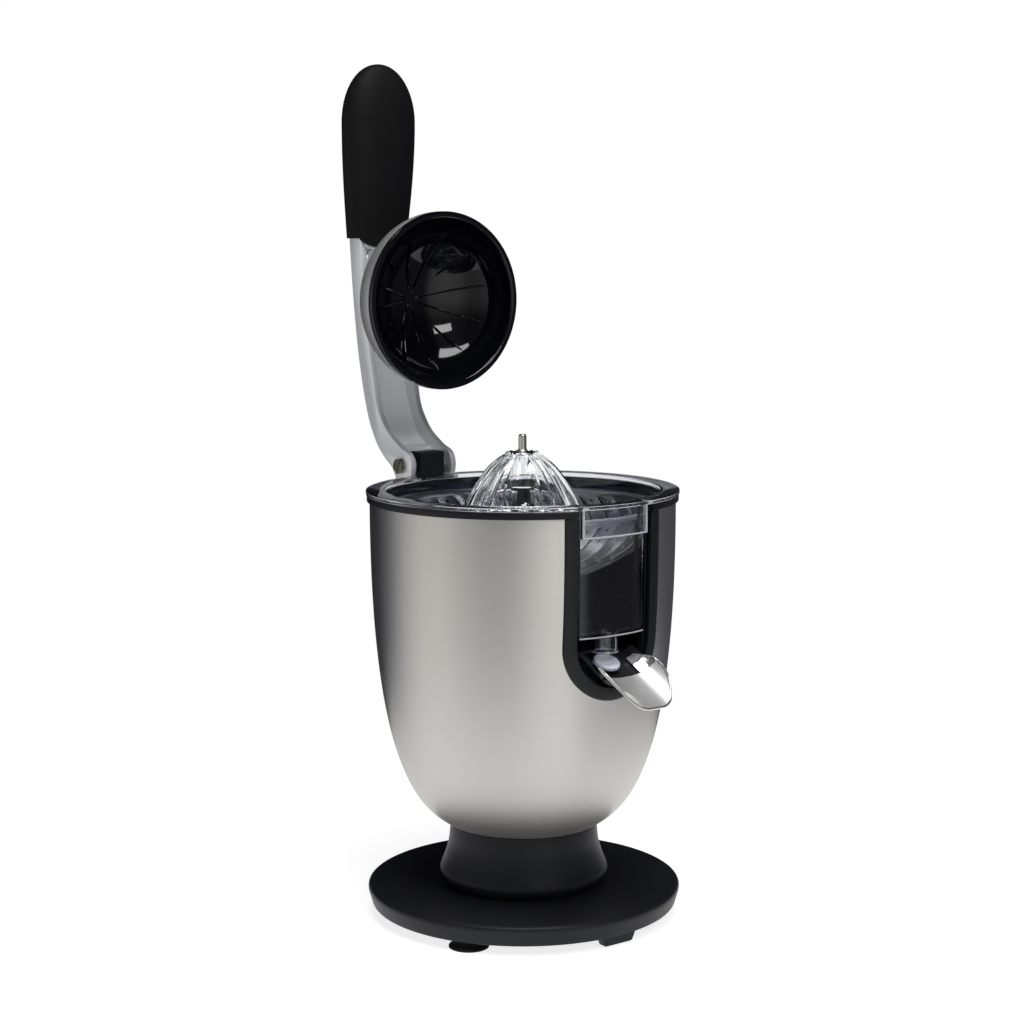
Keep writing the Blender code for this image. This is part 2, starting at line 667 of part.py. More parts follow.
# ---------------------------------------------------------------- reamer cone
def build_cone():
    outer = [(0, CONE_TOP), (8.6, CONE_TOP - 0.4), (15.4, 280.0), (23.2, 272.2), (29.7, 262.8),
             (35.8, 251.6), (40.8, 239.0), (44.8, CONE_BOTTOM)]
    inner = [(41.0, CONE_BOTTOM), (36.6, 237.6), (30.6, 250.6), (24.4, 260.4), (17.4, 268.6),
             (10.0, 275.6), (HUB_R, 277.0), (HUB_R, CONE_BOTTOM + 1.0), (0, CONE_BOTTOM + 1.0)]
    mesh = bpy.data.meshes.new("reamer_cone")
    bm = bmesh.new()
    points = outer + inner
    verts = [bm.verts.new((r * MM, 0.0, z * MM)) for r, z in points]
    edges = [bm.edges.new(pair) for pair in zip(verts, verts[1:])]
    steps = CONE_RIBS * 2
    bmesh.ops.spin(bm, geom=verts + edges, cent=(0, 0, 0), axis=(0, 0, 1), angle=math.tau,
                   steps=steps, use_merge=True)
    bmesh.ops.remove_doubles(bm, verts=bm.verts, dist=0.000001)
    for vert in bm.verts:
        flute_vertex(vert, inner)
    bmesh.ops.recalc_face_normals(bm, faces=bm.faces)
    bm.to_mesh(mesh)
    bm.free()
    cone = add_object("reamer_cone", mesh, CLEAR)
    boolean(cone, disc("hex_socket", HEX_R + 0.4, 210.0, SPINDLE_TOP + GAP, None, 6))
    smooth(cone, 50.0)

    base = CONE_TOP + GAP
    pin = [(0, PIN_TOP), (1.5, PIN_TOP), (PIN_R, PIN_TOP - 1.2), (PIN_R, base + 0.8),
           (3.4, base), (0, base)]
    smooth(turned("reamer_pin", pin, POLISHED, 12, False))


def flute_vertex(vert, inner):
    """Draws an outer vertex in between the ribs, most at half height."""
    r = vert.co.xy.length / MM
    z = vert.co.z / MM
    if r < 12.0 or any(abs(r - a) < 0.05 and abs(z - b) < 0.05 for a, b in inner):
        return
    angle = math.atan2(vert.co.y, vert.co.x)
    wave = 0.5 - 0.5 * math.cos(CONE_RIBS * angle)
    depth = CONE_RIB_DEPTH * (1.0 - wave)
    fade = min(1.0, (r - 9.0) / 12.0)
    factor = (r - depth * fade) / r
    vert.co.x *= factor
    vert.co.y *= factor


# ---------------------------------------------------------------- spout
def trough_section(x):
    return TROUGH_FLOOR + TROUGH_DEPTH * (abs(x) / TROUGH_HALF) ** 3


def carrier_section(x):
    return 1.0 + (CARRIER_TOP - 1.0) * (abs(x) / CARRIER_HALF) ** 2.2


def section_sheet(name, section, half, y_low, y_high, count, place):
    """An open sheet: a section across X drawn along Y."""
    mesh = bpy.data.meshes.new(name)
    bm = bmesh.new()
    rows = []
    for y in (y_low, y_high):
        row = []
        for i in range(count + 1):
            x = half * math.sin(math.pi * (i / count - 0.5))
            row.append(bm.verts.new((x * MM, y * MM, section(x) * MM)))
        rows.append(row)
    for i in range(count):
        bm.faces.new((rows[0][i], rows[0][i + 1], rows[1][i + 1], rows[1][i]))
    bm.to_mesh(mesh)
    bm.free()
    return add_object(name, mesh, None, None, *place)


def thicken(obj, thickness, offset):
    mod = obj.modifiers.new("sheet", "SOLIDIFY")
    mod.thickness = thickness * MM
    mod.offset = offset
    mod.use_even_offset = True
    return obj


def build_spout():
    tilt = (math.radians(SPOUT_TILT), 0, 0)
    place = ((0, SPOUT_Y, SPOUT_Z), tilt)

    trough = section_sheet("spout_trough", trough_section, TROUGH_HALF + 1.5, -70.0, -10.0, 16, place)
    trough.data.materials.append(POLISHED)
    thicken(trough, 1.0, -1.0)
    rim = [(-14.0, CARRIER_TOP + 0.4), (-14.0, RIM_LEVEL), (-33.0, RIM_LEVEL)]
    rim += smooth_line([(-33.0, RIM_LEVEL), (-46.0, 13.2), (-55.5, 9.6), (TROUGH_END, 7.2)], 3)[1:]
    rim += [(TROUGH_END, 0.0), (TROUGH_START, 0.0), (TROUGH_START, CARRIER_TOP + 0.4)]
    side = prism("trough_side", rim, -30.0, 30.0, None, "YZ", *place)
    boolean(trough, side, "INTERSECT")
    smooth(trough)

    half = CARRIER_HALF
    xs = [half * math.sin(math.pi * (i / 12.0 - 0.5)) for i in range(13)]
    outline = [(x, carrier_section(x)) for x in xs]
    carrier = prism("spout_carrier", outline, TROUGH_START + 0.3, 3.0, BLACK, "XZ", *place)
    xs = [(half - 1.8) * math.sin(math.pi * (i / 12.0 - 0.5)) for i in range(13)]
    hollow = [(x, carrier_section(x * half / (half - 1.8)) + 2.0) for x in xs]
    hollow[0] = (hollow[0][0], 20.0)
    hollow[-1] = (hollow[-1][0], 20.0)
    boolean(carrier, prism("carrier_hollow", hollow, TROUGH_START + 1.6, 1.0, None, "XZ", *place))
    front = [(TROUGH_START - 2.0, TROUGH_FLOOR), (TROUGH_START + 4.0, TROUGH_FLOOR),
             (TROUGH_START + 4.0, 20.0), (TROUGH_START - 2.0, 20.0)]
    boolean(carrier, prism("carrier_mouth", front, -16.5, 16.5, None, "YZ", *place))
    back = [(-5.5, 7.0), (6.0, 7.0), (6.0, 20.0), (-5.5, 20.0)]
    boolean(carrier, prism("carrier_back", back, -40.0, 40.0, None, "YZ", *place))
    boolean(carrier, spout_rod_piece("carrier_knuckle", 4.0, 20.0, place, 16), "UNION")
    boolean(carrier, turned("disc_boss", [(0, 5.2), (5.0, 5.2), (5.0, 2.0), (0, 2.0)], None, 12,
                            False, *disc_place(tilt)), "UNION")
    boolean(carrier, spout_rod_piece("carrier_bore", ROD_R + GAP, 26.0, place, 10))
    smooth(carrier)

    low = 5.2 + GAP
    face = [(0, DISC_TOP), (DISC_R - 0.5, DISC_TOP), (DISC_R, low), (0, low)]
    smooth(turned("drip_stop_disc", face, SILICONE, 24, False, *disc_place(tilt)))


def spout_rod_piece(name, radius, half, place, steps):
    """A cylinder along the spout's rod."""
    loc, tilt = place
    points = [(0, half), (radius, half), (radius, -half), (0, -half)]
    return turned(name, points, None, steps, False, loc, (0, math.pi / 2, 0), tilt[0])


def disc_place(tilt):
    """The drip-stop disc's axis: under the outlet tube when the spout is level."""
    reach = OUTLET_Y - SPOUT_Y
    a = tilt[0]
    return (0, SPOUT_Y + reach * math.cos(a), SPOUT_Z + reach * math.sin(a)), tilt


# ---------------------------------------------------------------- lever
def build_lever():
    front = [(155.4, 425.0), (152.1, 412.7), (149.2, 385.0), (147.0, 358.3), (142.6, 338.0),
             (138.0, 318.0), (135.0, 305.0), (130.5, 296.6), (122.0, 287.2), (108.5, 279.2),
             (98.6, 275.2), (95.2, 268.4)]
    foot = [(96.6, 260.8), (101.0, 256.4), (107.0, 255.2), (113.0, 258.6)]
    rear = [(117.4, 265.0), (127.3, 271.8), (135.6, 279.8), (143.6, 292.6), (149.3, 308.6),
            (153.8, 326.0), (158.1, 348.1), (162.2, 379.3), (165.2, 412.0), (166.0, 425.0)]
    outline = front + foot + rear
    arm = prism("lever_arm", outline, -ARM_HALF, ARM_HALF, CAST)
    web = [(161.4, 421.0), (161.0, 410.0), (158.2, 380.0), (154.2, 350.0), (149.8, 328.0),
           (145.2, 309.0), (139.6, 295.0), (134.0, 286.0), (128.0, 280.4), (119.4, 277.4),
           (118.0, 275.9), (119.4, 274.3), (127.3, 272.8)]
    inside = web + [(131.0, 264.0), (120.0, 240.0), (60.0, 240.0), (60.0, 421.0)]
    boolean(arm, prism("arm_channel", inside, -FORK_INNER, FORK_INNER, None))
    low, high = -159.0, -(CUP_Y + SHELL_DEPTH + 0.5)
    boss = turned("cup_boss", [(8.5, high), (8.5, low), (2.5, low), (2.5, high)], None, 16, True,
                  (0, 0, CUP_Z), (math.pi / 2, 0, 0))
    boolean(arm, boss, "UNION")
    tongue = box("grip_tongue", (-11, 156.0, 422.0), (11, 163.5, 470.0), None)
    boolean(arm, tongue, "UNION")
    boolean(arm, rod_y("cup_screw_way", 2.3, 140, 170, None, 0, CUP_Z, 10))
    boolean(arm, rod_y("cup_screw_seat", 5.0, 156.5, 175, None, 0, CUP_Z, 14))
    boolean(arm, rod_x("arm_pin_bore", HINGE_PIN_R + GAP, -25, 25, None, HINGE_Y, HINGE_Z, 16))
    smooth(arm, 30.0)

    build_grip()
    build_cup()
    build_hinge_pin()


def build_grip():
    """A paddle lofted through superellipse sections, with a pocket for the tongue."""
    low, waist, top = 411.6, 486.0, 523.4
    dip, front_wall = 405.8, 151.6
    count = 20
    levels = [dip, 430.0, 458.0, waist]
    levels += [waist + (top - waist) * math.sin(math.radians(a)) for a in (25, 45, 63, 80)]
    mesh = bpy.data.meshes.new("handle_grip")
    bm = bmesh.new()
    rows = []
    for z in levels:
        t = max(0.0, (min(z, waist) - low) / (waist - low))
        half_x = 21.2 + 4.8 * math.sin(t * math.pi / 2)
        half_y = 11.8 + 1.6 * math.sin(t * math.pi / 2)
        if z > waist:
            shrink = math.sqrt(max(0.0, 1.0 - ((z - waist) / (top - waist)) ** 2))
            half_x *= shrink
            half_y *= shrink ** 0.75
        centre = 158.9 - 3.6 * math.sin(max(0.0, min(1.0, (z - low) / 90.0)) * math.pi / 2)
        rows.append([bm.verts.new(p) for p in superellipse(half_x, half_y, centre, z, count)])
    for below, above in zip(rows, rows[1:]):
        for i in range(count):
            j = (i + 1) % count
            bm.faces.new((below[i], below[j], above[j], above[i]))
    bm.faces.new(reversed(rows[0]))
    bm.faces.new(rows[-1])
    bmesh.ops.recalc_face_normals(bm, faces=bm.faces)
    bm.to_mesh(mesh)
    bm.free()
    grip = add_object("handle_grip", mesh, GRIP)
    boolean(grip, box("grip_pocket", (-11.4, 155.6, 400.0), (11.4, 163.9, 470.5), None))
    neck = box("grip_neck", (-ARM_HALF - 0.4, front_wall, 400.0), (ARM_HALF + 0.4, 167.4, 426.0), None)
    boolean(grip, neck)
    side = low + 0.1
    arch = [(30.0, 400.0), (30.0, side)]
    arch += [(18.5 * math.cos(a), side - (side - dip - 0.2) * math.sin(a) ** 1.5)
             for a in (math.pi * i / 8 for i in range(9))]
    arch += [(-30.0, side), (-30.0, 400.0)]
    boolean(grip, prism("grip_arch", arch, 130.0, front_wall + 0.5, None, "XZ"))
    boolean(grip, box("grip_foot", (-32, front_wall - 0.2, 398.0), (32, 190, low), None))
    smooth(grip, 40.0)


def superellipse(half_x, half_y, centre_y, z, count, power=2.5):
    out = []
    for i in range(count):
        a = math.tau * i / count
        c, s = math.cos(a), math.sin(a)
        x = half_x * math.copysign(abs(c) ** (2.0 / power), c)
        y = half_y * math.copysign(abs(s) ** (2.0 / power), s)
        out.append((x * MM, (centre_y + y) * MM, z * MM))
    return out


def bowl(radius, depth, count, low=0.0):
    """Points down an elliptic bowl from its mouth to its bottom, mouth at height 0."""
    out = []
    for i in range(count + 1):
        a = 0.5 * math.pi * i / count
        out.append((radius * math.cos(a), low - depth * math.sin(a)))
    out[-1] = (0, low - depth)
    return out


def build_cup():
    place = (0, CUP_Y, CUP_Z), (math.pi / 2, 0, 0)
    outer = [(CUP_R - 0.6, 0.0), (CUP_R, -0.6), (CUP_R, -2.6)]
    outer += bowl(CUP_R - 2.2, CUP_DEPTH + CUP_T - 3.0, 5, -3.0)
    inner = list(reversed(bowl(CUP_R - 4.2, CUP_DEPTH - 1.4, 5, -1.4)))
    points = outer + inner + [(CUP_R - 2.6, 0.0)]
    cup = turned("press_cup", fix_axis(points), GLOSS, 30, True, *place)
    shell_outer = bowl(CUP_R, SHELL_DEPTH - 3.2, 5, -3.2)
    shell_inner = list(reversed(bowl(CUP_R - 1.2, SHELL_DEPTH - 3.2 - 1.2, 5, -3.2)))
    backing = turned("cup_backing", fix_axis(shell_outer + shell_inner), CAST, 30, True, *place)
    boolean(backing, disc_along("backing_hole", 2.6, -60.0, -30.0, place))
    boolean(cup, disc_along("cup_pilot", 1.8, -60.0, -CUP_DEPTH - 1.2, place))
    smooth(cup)
    smooth(backing)
    screw = rod_y("cup_screw", 4.4, 156.8, 160.2, ZINC, 0, CUP_Z, 12)
    boolean(screw, rod_y("cup_screw_shank", 1.9, 124.6, 158.0, None, 0, CUP_Z, 8), "UNION")
    smooth(screw)


def fix_axis(points):
    """Opens a closed profile that meets the axis twice, so that it turns into one skin."""
    low = [i for i, (r, _) in enumerate(points) if r == 0]
    cut = low[1]
    return points[cut:] + points[:cut]


def disc_along(name, radius, low, high, place):
    points = [(0, high), (radius, high), (radius, low), (0, low)]
    return turned(name, points, None, 10, False, *place, phase=0.11)


def build_hinge_pin():
    low, high = -ARM_HALF - 0.7, ARM_HALF + 0.7
    pin = rod_x("hinge_pin", HINGE_PIN_R, low - 1.6, high + 3.0, ZINC, HINGE_Y, HINGE_Z, 16)
    head = rod_x("pin_head", 4.9, low - 2.0, low, None, HINGE_Y, HINGE_Z, 16)
    boolean(pin, head, "UNION")
    slot = box("pin_slot", (low - 3.0, HINGE_Y - 0.7, HINGE_Z - 8), (low - 1.1, HINGE_Y + 0.7,
               HINGE_Z + 8), None)
    slot.rotation_euler = (math.radians(35.0), 0, 0)
    boolean(pin, slot)
    smooth(pin)
    nut = turned("pin_nut", [(6.4, 2.6), (6.4, 0.2), (4.5, 0.2), (4.5, 2.6)], ZINC, 6, True,
                 (high + 0.1, HINGE_Y, HINGE_Z), (0, math.pi / 2, 0))
    smooth(nut, 20.0)
    for side in (-1, 1):
        a, b = sorted((side * (BLOCK_HALF + GAP), side * (FORK_INNER - GAP)))
        name = "hinge_washer_" + ("left" if side < 0 else "right")
        points = [(7.0, b), (7.0, a), (HINGE_PIN_R + GAP, a), (HINGE_PIN_R + GAP, b)]
        smooth(turned(name, points, ZINC, 16, True, (0, HINGE_Y, HINGE_Z), (0, math.pi / 2, 0)))


build_base()
build_neck()
build_housing()
build_slot_frame()
build_tub()
build_hinge_block()
build_drive()
build_container()
build_strainer()
build_cone()
build_spout()
build_lever()
bpy.context.view_layer.update()
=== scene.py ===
"""Looks of the citrus press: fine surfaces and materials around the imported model.

Lengths are in millimetres from the bowl's vertical axis at table level, with the
spout towards -Y, and become metres in the row frame when a mesh is made.
"""
import json
import math

import bmesh
import bpy
from mathutils import Matrix, Vector


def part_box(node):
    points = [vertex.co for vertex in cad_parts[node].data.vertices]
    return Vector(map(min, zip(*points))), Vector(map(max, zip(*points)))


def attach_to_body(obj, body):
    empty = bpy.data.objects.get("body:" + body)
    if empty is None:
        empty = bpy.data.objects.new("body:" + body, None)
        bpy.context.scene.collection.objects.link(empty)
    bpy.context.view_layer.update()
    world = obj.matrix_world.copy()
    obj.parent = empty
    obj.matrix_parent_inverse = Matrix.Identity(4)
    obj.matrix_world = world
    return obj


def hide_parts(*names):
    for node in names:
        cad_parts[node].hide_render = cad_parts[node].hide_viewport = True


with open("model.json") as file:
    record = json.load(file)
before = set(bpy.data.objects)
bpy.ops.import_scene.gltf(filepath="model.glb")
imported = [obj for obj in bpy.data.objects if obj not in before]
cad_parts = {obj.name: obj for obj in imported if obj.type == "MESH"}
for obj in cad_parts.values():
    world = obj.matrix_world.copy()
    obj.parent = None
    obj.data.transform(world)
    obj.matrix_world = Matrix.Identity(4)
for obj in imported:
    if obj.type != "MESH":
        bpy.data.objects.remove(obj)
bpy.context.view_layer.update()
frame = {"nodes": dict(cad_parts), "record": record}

MM = 0.001
TAU = math.tau
SMOOTH = 35.0                 # degrees between two faces that are still shaded as one
PLATE_LOW, PLATE_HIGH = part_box("base_plate")
AXIS_Y = (PLATE_LOW.y + PLATE_HIGH.y) / 2.0      # of the bowl's axis, in metres

# the bowl is a superellipse, as the model's housing is: radius, height of its mouth,
# depth, and the powers of depth and radius
BOWL_R, BOWL_Z, BOWL_H, BOWL_P, BOWL_Q = 92.8, 257.0, 205.15, 2.43, 4.16
BOWL_TOP, BOWL_BOTTOM = 255.1, 56.2
BOWL_SHEET = 0.8
NECK_BORE = 20.3              # radius of the hole down the base, neck and bowl

# the U slot: half-widths of its frame and of the liner inside, and the bend's centre
SLOT_OUT, SLOT_IN, LINER_IN, SLOT_Z = 34.5, 26.5, 25.0, 181.0

RIM_R, RIM_IN = 94.5, 86.4
FLANGE_R, FLANGE_LOW, FLANGE_TOP = 95.0, 259.7, 262.0

# the container's window box and the lip in front of it
BOX_HALF, BOX_INNER_HALF, BOX_BACK, BOX_TOP = 24.0, 22.3, -80.4, 261.2
BOX_R, LIP_R, LIP_LOW = 88.8, 91.8, 243.0
OUTLET_Y, OUTLET_R, OUTLET_BORE = -79.5, 8.1, 6.5

SLOT_LIFT = 0.55              # how far the edges of a strainer slot stand out
CONE_RIBS, CONE_PHASE, CONE_WALL = 12, math.radians(15.0), 1.9

# the spout's rod and its tilt at rest; the tray is a cubic curve across
SPOUT_Y, SPOUT_Z, SPOUT_TILT = -70.0, 166.0, math.radians(25.0)
TRAY_HALF, TRAY_FLOOR, TRAY_RISE, TRAY_SHEET = 21.0, 8.0, 9.0, 1.0

HINGE_Y, HINGE_Z = 107.5, 266.8
ARM_HALF, CHANNEL_HALF, WEB_HALF = 17.3, 13.7, 13.6
GRIP_LOW, GRIP_DIP, GRIP_FRONT = 411.6, 405.8, 151.6
ARCH_HALF, ARCH_POWER = 18.5, 1.5      # of the arch in the grip's lower edge
CUP_Y, CUP_Z, CUP_R, CUP_DEPTH = 80.1, 372.8, 55.9, 41.0
CUP_BORE, CUP_HOLLOW, CUP_LIP = CUP_R - 4.2, CUP_DEPTH - 1.4, -1.4


# ------------------------------------------------------------ mesh helpers
def place(point):
    """From the drawing's millimetres to metres in the row frame."""
    return (point[0] * MM, point[1] * MM + AXIS_Y, point[2] * MM)


def new_object(name, data):
    """A new object in the scene."""
    obj = bpy.data.objects.new(name, data)
    bpy.context.scene.collection.objects.link(obj)
    return obj


def shade(obj, sharp=SMOOTH):
    """Smooth shading, with the edges above an angle in degrees left sharp."""
    obj.data.shade_smooth()
    obj.data.set_sharp_from_angle(angle=math.radians(sharp))


def set_materials(obj, *materials):
    """Replaces the materials of an object."""
    obj.data.materials.clear()
    for mat in materials:
        obj.data.materials.append(mat)


def attach(obj, body, nodes=()):
    """Puts a piece on its body and the nodes it stands for."""
    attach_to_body(obj, body)
    if nodes:
        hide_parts(*nodes)


def finish_mesh(name, bm, mat, body, nodes=(), sharp=SMOOTH):
    """An object from a bmesh, attached to its body when it has one."""
    bmesh.ops.recalc_face_normals(bm, faces=bm.faces)
    mesh = bpy.data.meshes.new(name)
    bm.to_mesh(mesh)
    bm.free()
    obj = new_object(name, mesh)
    shade(obj, sharp)
    if mat is not None:
        mesh.materials.append(mat)
    if body:
        attach(obj, body, nodes)
    return obj


def skin(bm, rows, ring=False, closed=True, caps=False):
    """Joins rows of points with quads. In a ring the last row joins the first, and
    closed rows join their own ends."""
    verts = [[bm.verts.new(place(p)) for p in row] for row in rows]
    last = len(rows) if ring else len(rows) - 1
    for i in range(last):
        a, b = verts[i], verts[(i + 1) % len(rows)]
        count = len(a) if closed else len(a) - 1
        for k in range(count):
            n = (k + 1) % len(a)
            bm.faces.new((a[k], a[n], b[n], b[k]))
    if caps:
        bm.faces.new(list(reversed(verts[0])))
        bm.faces.new(verts[-1])


def merge(bm, distance):
    """Joins the points that lie within a distance in metres."""
    bmesh.ops.remove_doubles(bm, verts=bm.verts, dist=distance)


def piece(name, rows, mat, body, nodes=(), sharp=SMOOTH, ring=False, weld=0.0):
    """A closed skin over closed rows: a ring, or else capped at both ends."""
    bm = bmesh.new()
    skin(bm, rows, ring, True, not ring)
    if weld:
        merge(bm, weld)
    return finish_mesh(name, bm, mat, body, nodes, sharp)


def rounded(corners, steps=4):
    """A closed outline from (x, y, fillet) corners."""
    out = []
    count = len(corners)
    for i, (x, y, fillet) in enumerate(corners):
        if fillet <= 0:
            out.append((x, y))
            continue
        here = Vector((x, y))
        before = Vector(corners[i - 1][:2]) - here
        after = Vector(corners[(i + 1) % count][:2]) - here
        start = here + before.normalized() * min(fillet, before.length * 0.49)
        end = here + after.normalized() * min(fillet, after.length * 0.49)
        for k in range(steps + 1):
            t = k / steps
            p = start * (1 - t) ** 2 + here * 2 * t * (1 - t) + end * t * t
            out.append((p.x, p.y))
    return out


def catmull(points, per_span=6):
    """A smooth curve through points."""
    out = []
    for i in range(len(points) - 1):
        p0, p1 = points[max(i - 1, 0)], points[i]
        p2, p3 = points[i + 1], points[min(i + 2, len(points) - 1)]
        for k in range(per_span):
            t = k / per_span
            out.append(tuple(
                0.5 * (2 * b + (c - a) * t + (2 * a - 5 * b + 4 * c - d) * t * t
                       + (3 * b - a - 3 * c + d) * t ** 3)
                for a, b, c, d in zip(p0, p1, p2, p3)))
    out.append(points[-1])
    return out


def lathe_rows(profile, steps, start=0.0, turn=TAU):
    """An (r, z) profile repeated about the axis, all round or part of the way."""
    rows = []
    count = steps if turn == TAU else steps + 1
    for i in range(count):
        a = start + turn * i / steps
        c, s = math.cos(a), math.sin(a)
        rows.append([(r * c, r * s, z) for r, z in profile])
    return rows


def lathe(name, profile, mat, body, nodes=(), steps=160, start=0.0, turn=TAU):
    """A closed section turned about the bowl's axis."""
    rows = lathe_rows(profile, steps, start, turn)
    return piece(name, rows, mat, body, nodes, ring=turn == TAU, weld=1e-7)


def prism_rows(outline, low, high, plane="YZ"):
    """Two rows of an outline pushed across its plane."""
    rows = []
    for d in (low, high):
        if plane == "YZ":
            rows.append([(d, a, b) for a, b in outline])
        elif plane == "XZ":
            rows.append([(a, d, b) for a, b in outline])
        else:
            rows.append([(a, b, d) for a, b in outline])
    return rows


def drum_rows(centre, axis, radius, low, high, steps=48):
    """The two end circles of a cylinder along X, Y or Z."""
    x, y, z = centre
    rows = []
    for d in (low, high):
        row = []
        for i in range(steps):
            a = TAU * i / steps
            u, v = radius * math.cos(a), radius * math.sin(a)
            if axis == "X":
                row.append((x + d, y + u, z + v))
            elif axis == "Y":
                row.append((x + u, y + d, z + v))
            else:
                row.append((x + u, y + v, z + d))
        rows.append(row)
    return rows


def bead_rows(path, radius, sides=10):
    """Round sections along a path."""
    path = [Vector(p) for p in path]
    rows = []
    for i, p in enumerate(path):
        along = (path[min(i + 1, len(path) - 1)] - path[max(i - 1, 0)]).normalized()
        up = Vector((0, 0, 1)) if abs(along.z) < 0.9 else Vector((0, 1, 0))
        u = along.cross(up).normalized()
        v = along.cross(u).normalized()
        turns = [TAU * k / sides for k in range(sides)]
        rows.append([p + (u * math.cos(a) + v * math.sin(a)) * radius for a in turns])
    return rows


def apply_modifiers(obj):
    """Replaces an object's mesh by its evaluated one."""
    bpy.context.view_layer.update()
    graph = bpy.context.evaluated_depsgraph_get()
    mesh = bpy.data.meshes.new_from_object(obj.evaluated_get(graph))
    obj.modifiers.clear()
    old = obj.data
    obj.data = mesh
    bpy.data.meshes.remove(old)


def combine(obj, other, operation="DIFFERENCE"):
    """Cuts or joins an object with another, which is used up."""
    mod = obj.modifiers.new("shape", "BOOLEAN")
    mod.operation = operation
    mod.solver = "EXACT"
    mod.object = other
    apply_modifiers(obj)
    mesh = other.data
    bpy.data.objects.remove(other, do_unlink=True)
    bpy.data.meshes.remove(mesh)
    return obj


def tool(rows):
    """A closed shape used only to cut or join, with no material."""
    return piece("tool", rows, None, None, weld=1e-7)


def cut(obj, rows):
    """Takes a closed shape away from an object."""
    combine(obj, tool(rows))


def join(obj, rows):
    """Adds a closed shape to an object."""
    combine(obj, tool(rows), "UNION")


def bevel(obj, width, segments=3, angle=30.0):
    """Breaks the edges that are sharper than an angle in degrees."""
    mod = obj.modifiers.new("edges", "BEVEL")
    mod.width = width * MM
    mod.segments = segments
    mod.limit_method = "ANGLE"
    mod.angle_limit = math.radians(angle)
    mod.use_clamp_overlap = True
    apply_modifiers(obj)
    shade(obj)


def bowl_radius(z):
    """Radius of the bowl's outside at a height."""
    t = min((BOWL_Z - z) / BOWL_H, 0.985)
    return BOWL_R * (1.0 - max(t, 0.0) ** BOWL_P) ** (1.0 / BOWL_Q)


# ------------------------------------------------------------ materials
def add_node(tree, kind, **values):
    """A node whose inputs or settings are filled in by name."""
    node = tree.nodes.new(kind)
    for key, value in values.items():
        socket = key.replace("_", " ")
        if socket in node.inputs:
            node.inputs[socket].default_value = value
        else:
            setattr(node, key, value)
    return node


def set_stops(ramp, stops):
    """Fills a colour ramp from (position, colour) pairs."""
    for i, (at, colour) in enumerate(stops):
        stop = ramp.elements[i] if i < 2 else ramp.elements.new(1.0)
        stop.position = at
        stop.color = (*colour, 1.0)


class Nodes:
    """A small wrapper that keeps material code short."""

    def __init__(self, name):
        """A new material with its shader."""
        self.mat = bpy.data.materials.new(name)
        self.mat.use_nodes = True
        self.tree = self.mat.node_tree
        self.shader = self.tree.nodes["Principled BSDF"]

    def add(self, kind, **values):
        """A new node."""
        return add_node(self.tree, kind, **values)

    def link(self, a, b):
        """A link from an output to an input."""
        self.tree.links.new(a, b)

    def feed(self, output, socket):
        """A link from an output to an input of the shader."""
        self.link(output, self.shader.inputs[socket])

    def set(self, **values):
        """Values on the shader's own inputs."""
        for key, value in values.items():
            self.shader.inputs[key.replace("_", " ")].default_value = value

    def coordinates(self, scale=(1.0, 1.0, 1.0)):
        """Object coordinates, stretched."""
        coord = self.add("ShaderNodeTexCoord")
        mapping = self.add("ShaderNodeMapping", Scale=scale)
        self.link(coord.outputs["Object"], mapping.inputs["Vector"])
        return mapping.outputs["Vector"]

    def noise(self, vector, scale, detail=3.0, rough=0.5):
        """Noise from 0 to 1."""
        node = self.add("ShaderNodeTexNoise", Scale=scale, Detail=detail, Roughness=rough)
        self.link(vector, node.inputs["Vector"])
        return node.outputs["Fac"]

    def remap(self, value, low, high):
        """A value from 0 to 1 turned into one from low to high."""
        node = self.add("ShaderNodeMapRange", To_Min=low, To_Max=high)
        self.link(value, node.inputs["Value"])
        return node.outputs["Result"]

    def ramp(self, value, stops):
        """A colour for a value."""
        node = self.add("ShaderNodeValToRGB")
        set_stops(node.color_ramp, stops)
        self.link(value, node.inputs["Fac"])
        return node.outputs["Color"]

    def bump(self, height, strength, distance=0.0005):
        """Fine relief, with its distance in metres."""
        node = self.add("ShaderNodeBump", Strength=strength, Distance=distance)
        self.link(height, node.inputs["Height"])
        self.feed(node.outputs["Normal"], "Normal")


def plastic(name, dark, light, rough, grain_scale, grain, gloss=0.5, coat=0.0):
    """Moulded plastic: slow colour drift, uneven gloss and a fine moulded grain."""
    m = Nodes(name)
    at = m.coordinates()
    m.feed(m.ramp(m.noise(at, 18.0), [(0.3, dark), (0.75, light)]), "Base Color")
    m.feed(m.remap(m.noise(at, 60.0, 4.0), rough - 0.05, rough + 0.06), "Roughness")
    m.bump(m.noise(at, grain_scale, 2.0), grain)
    m.set(Specular_IOR_Level=gloss, Coat_Weight=coat, Coat_Roughness=0.05)
    return m.mat


def brushed(name, dark, light, rough, spacing, stretch=(1.0, 1.0, 1.0), bump=0.05, metal=1.0,
            anisotropy=0.0):
    """Brushed metal: long fine lines along the stretch, with streaky gloss."""
    m = Nodes(name)
    lines = m.noise(m.coordinates(stretch), spacing, 4.0, 0.6)
    broad = m.noise(m.coordinates(), 9.0)
    tint = m.add("ShaderNodeMix", data_type="RGBA")
    tint.inputs[0].default_value = 0.5
    m.link(m.ramp(lines, [(0.25, dark), (0.8, light)]), tint.inputs[6])
    m.link(m.ramp(broad, [(0.2, dark), (0.8, light)]), tint.inputs[7])
    m.feed(tint.outputs[2], "Base Color")
    m.feed(m.remap(lines, rough - 0.05, rough + 0.05), "Roughness")
    m.set(Metallic=metal, Anisotropic=anisotropy, Anisotropic_Rotation=0.25)
    if anisotropy:
        tangent = m.add("ShaderNodeTangent", direction_type="RADIAL", axis="Z")
        m.feed(tangent.outputs["Tangent"], "Tangent")
    m.bump(lines, bump, 0.0002)
    return m.mat


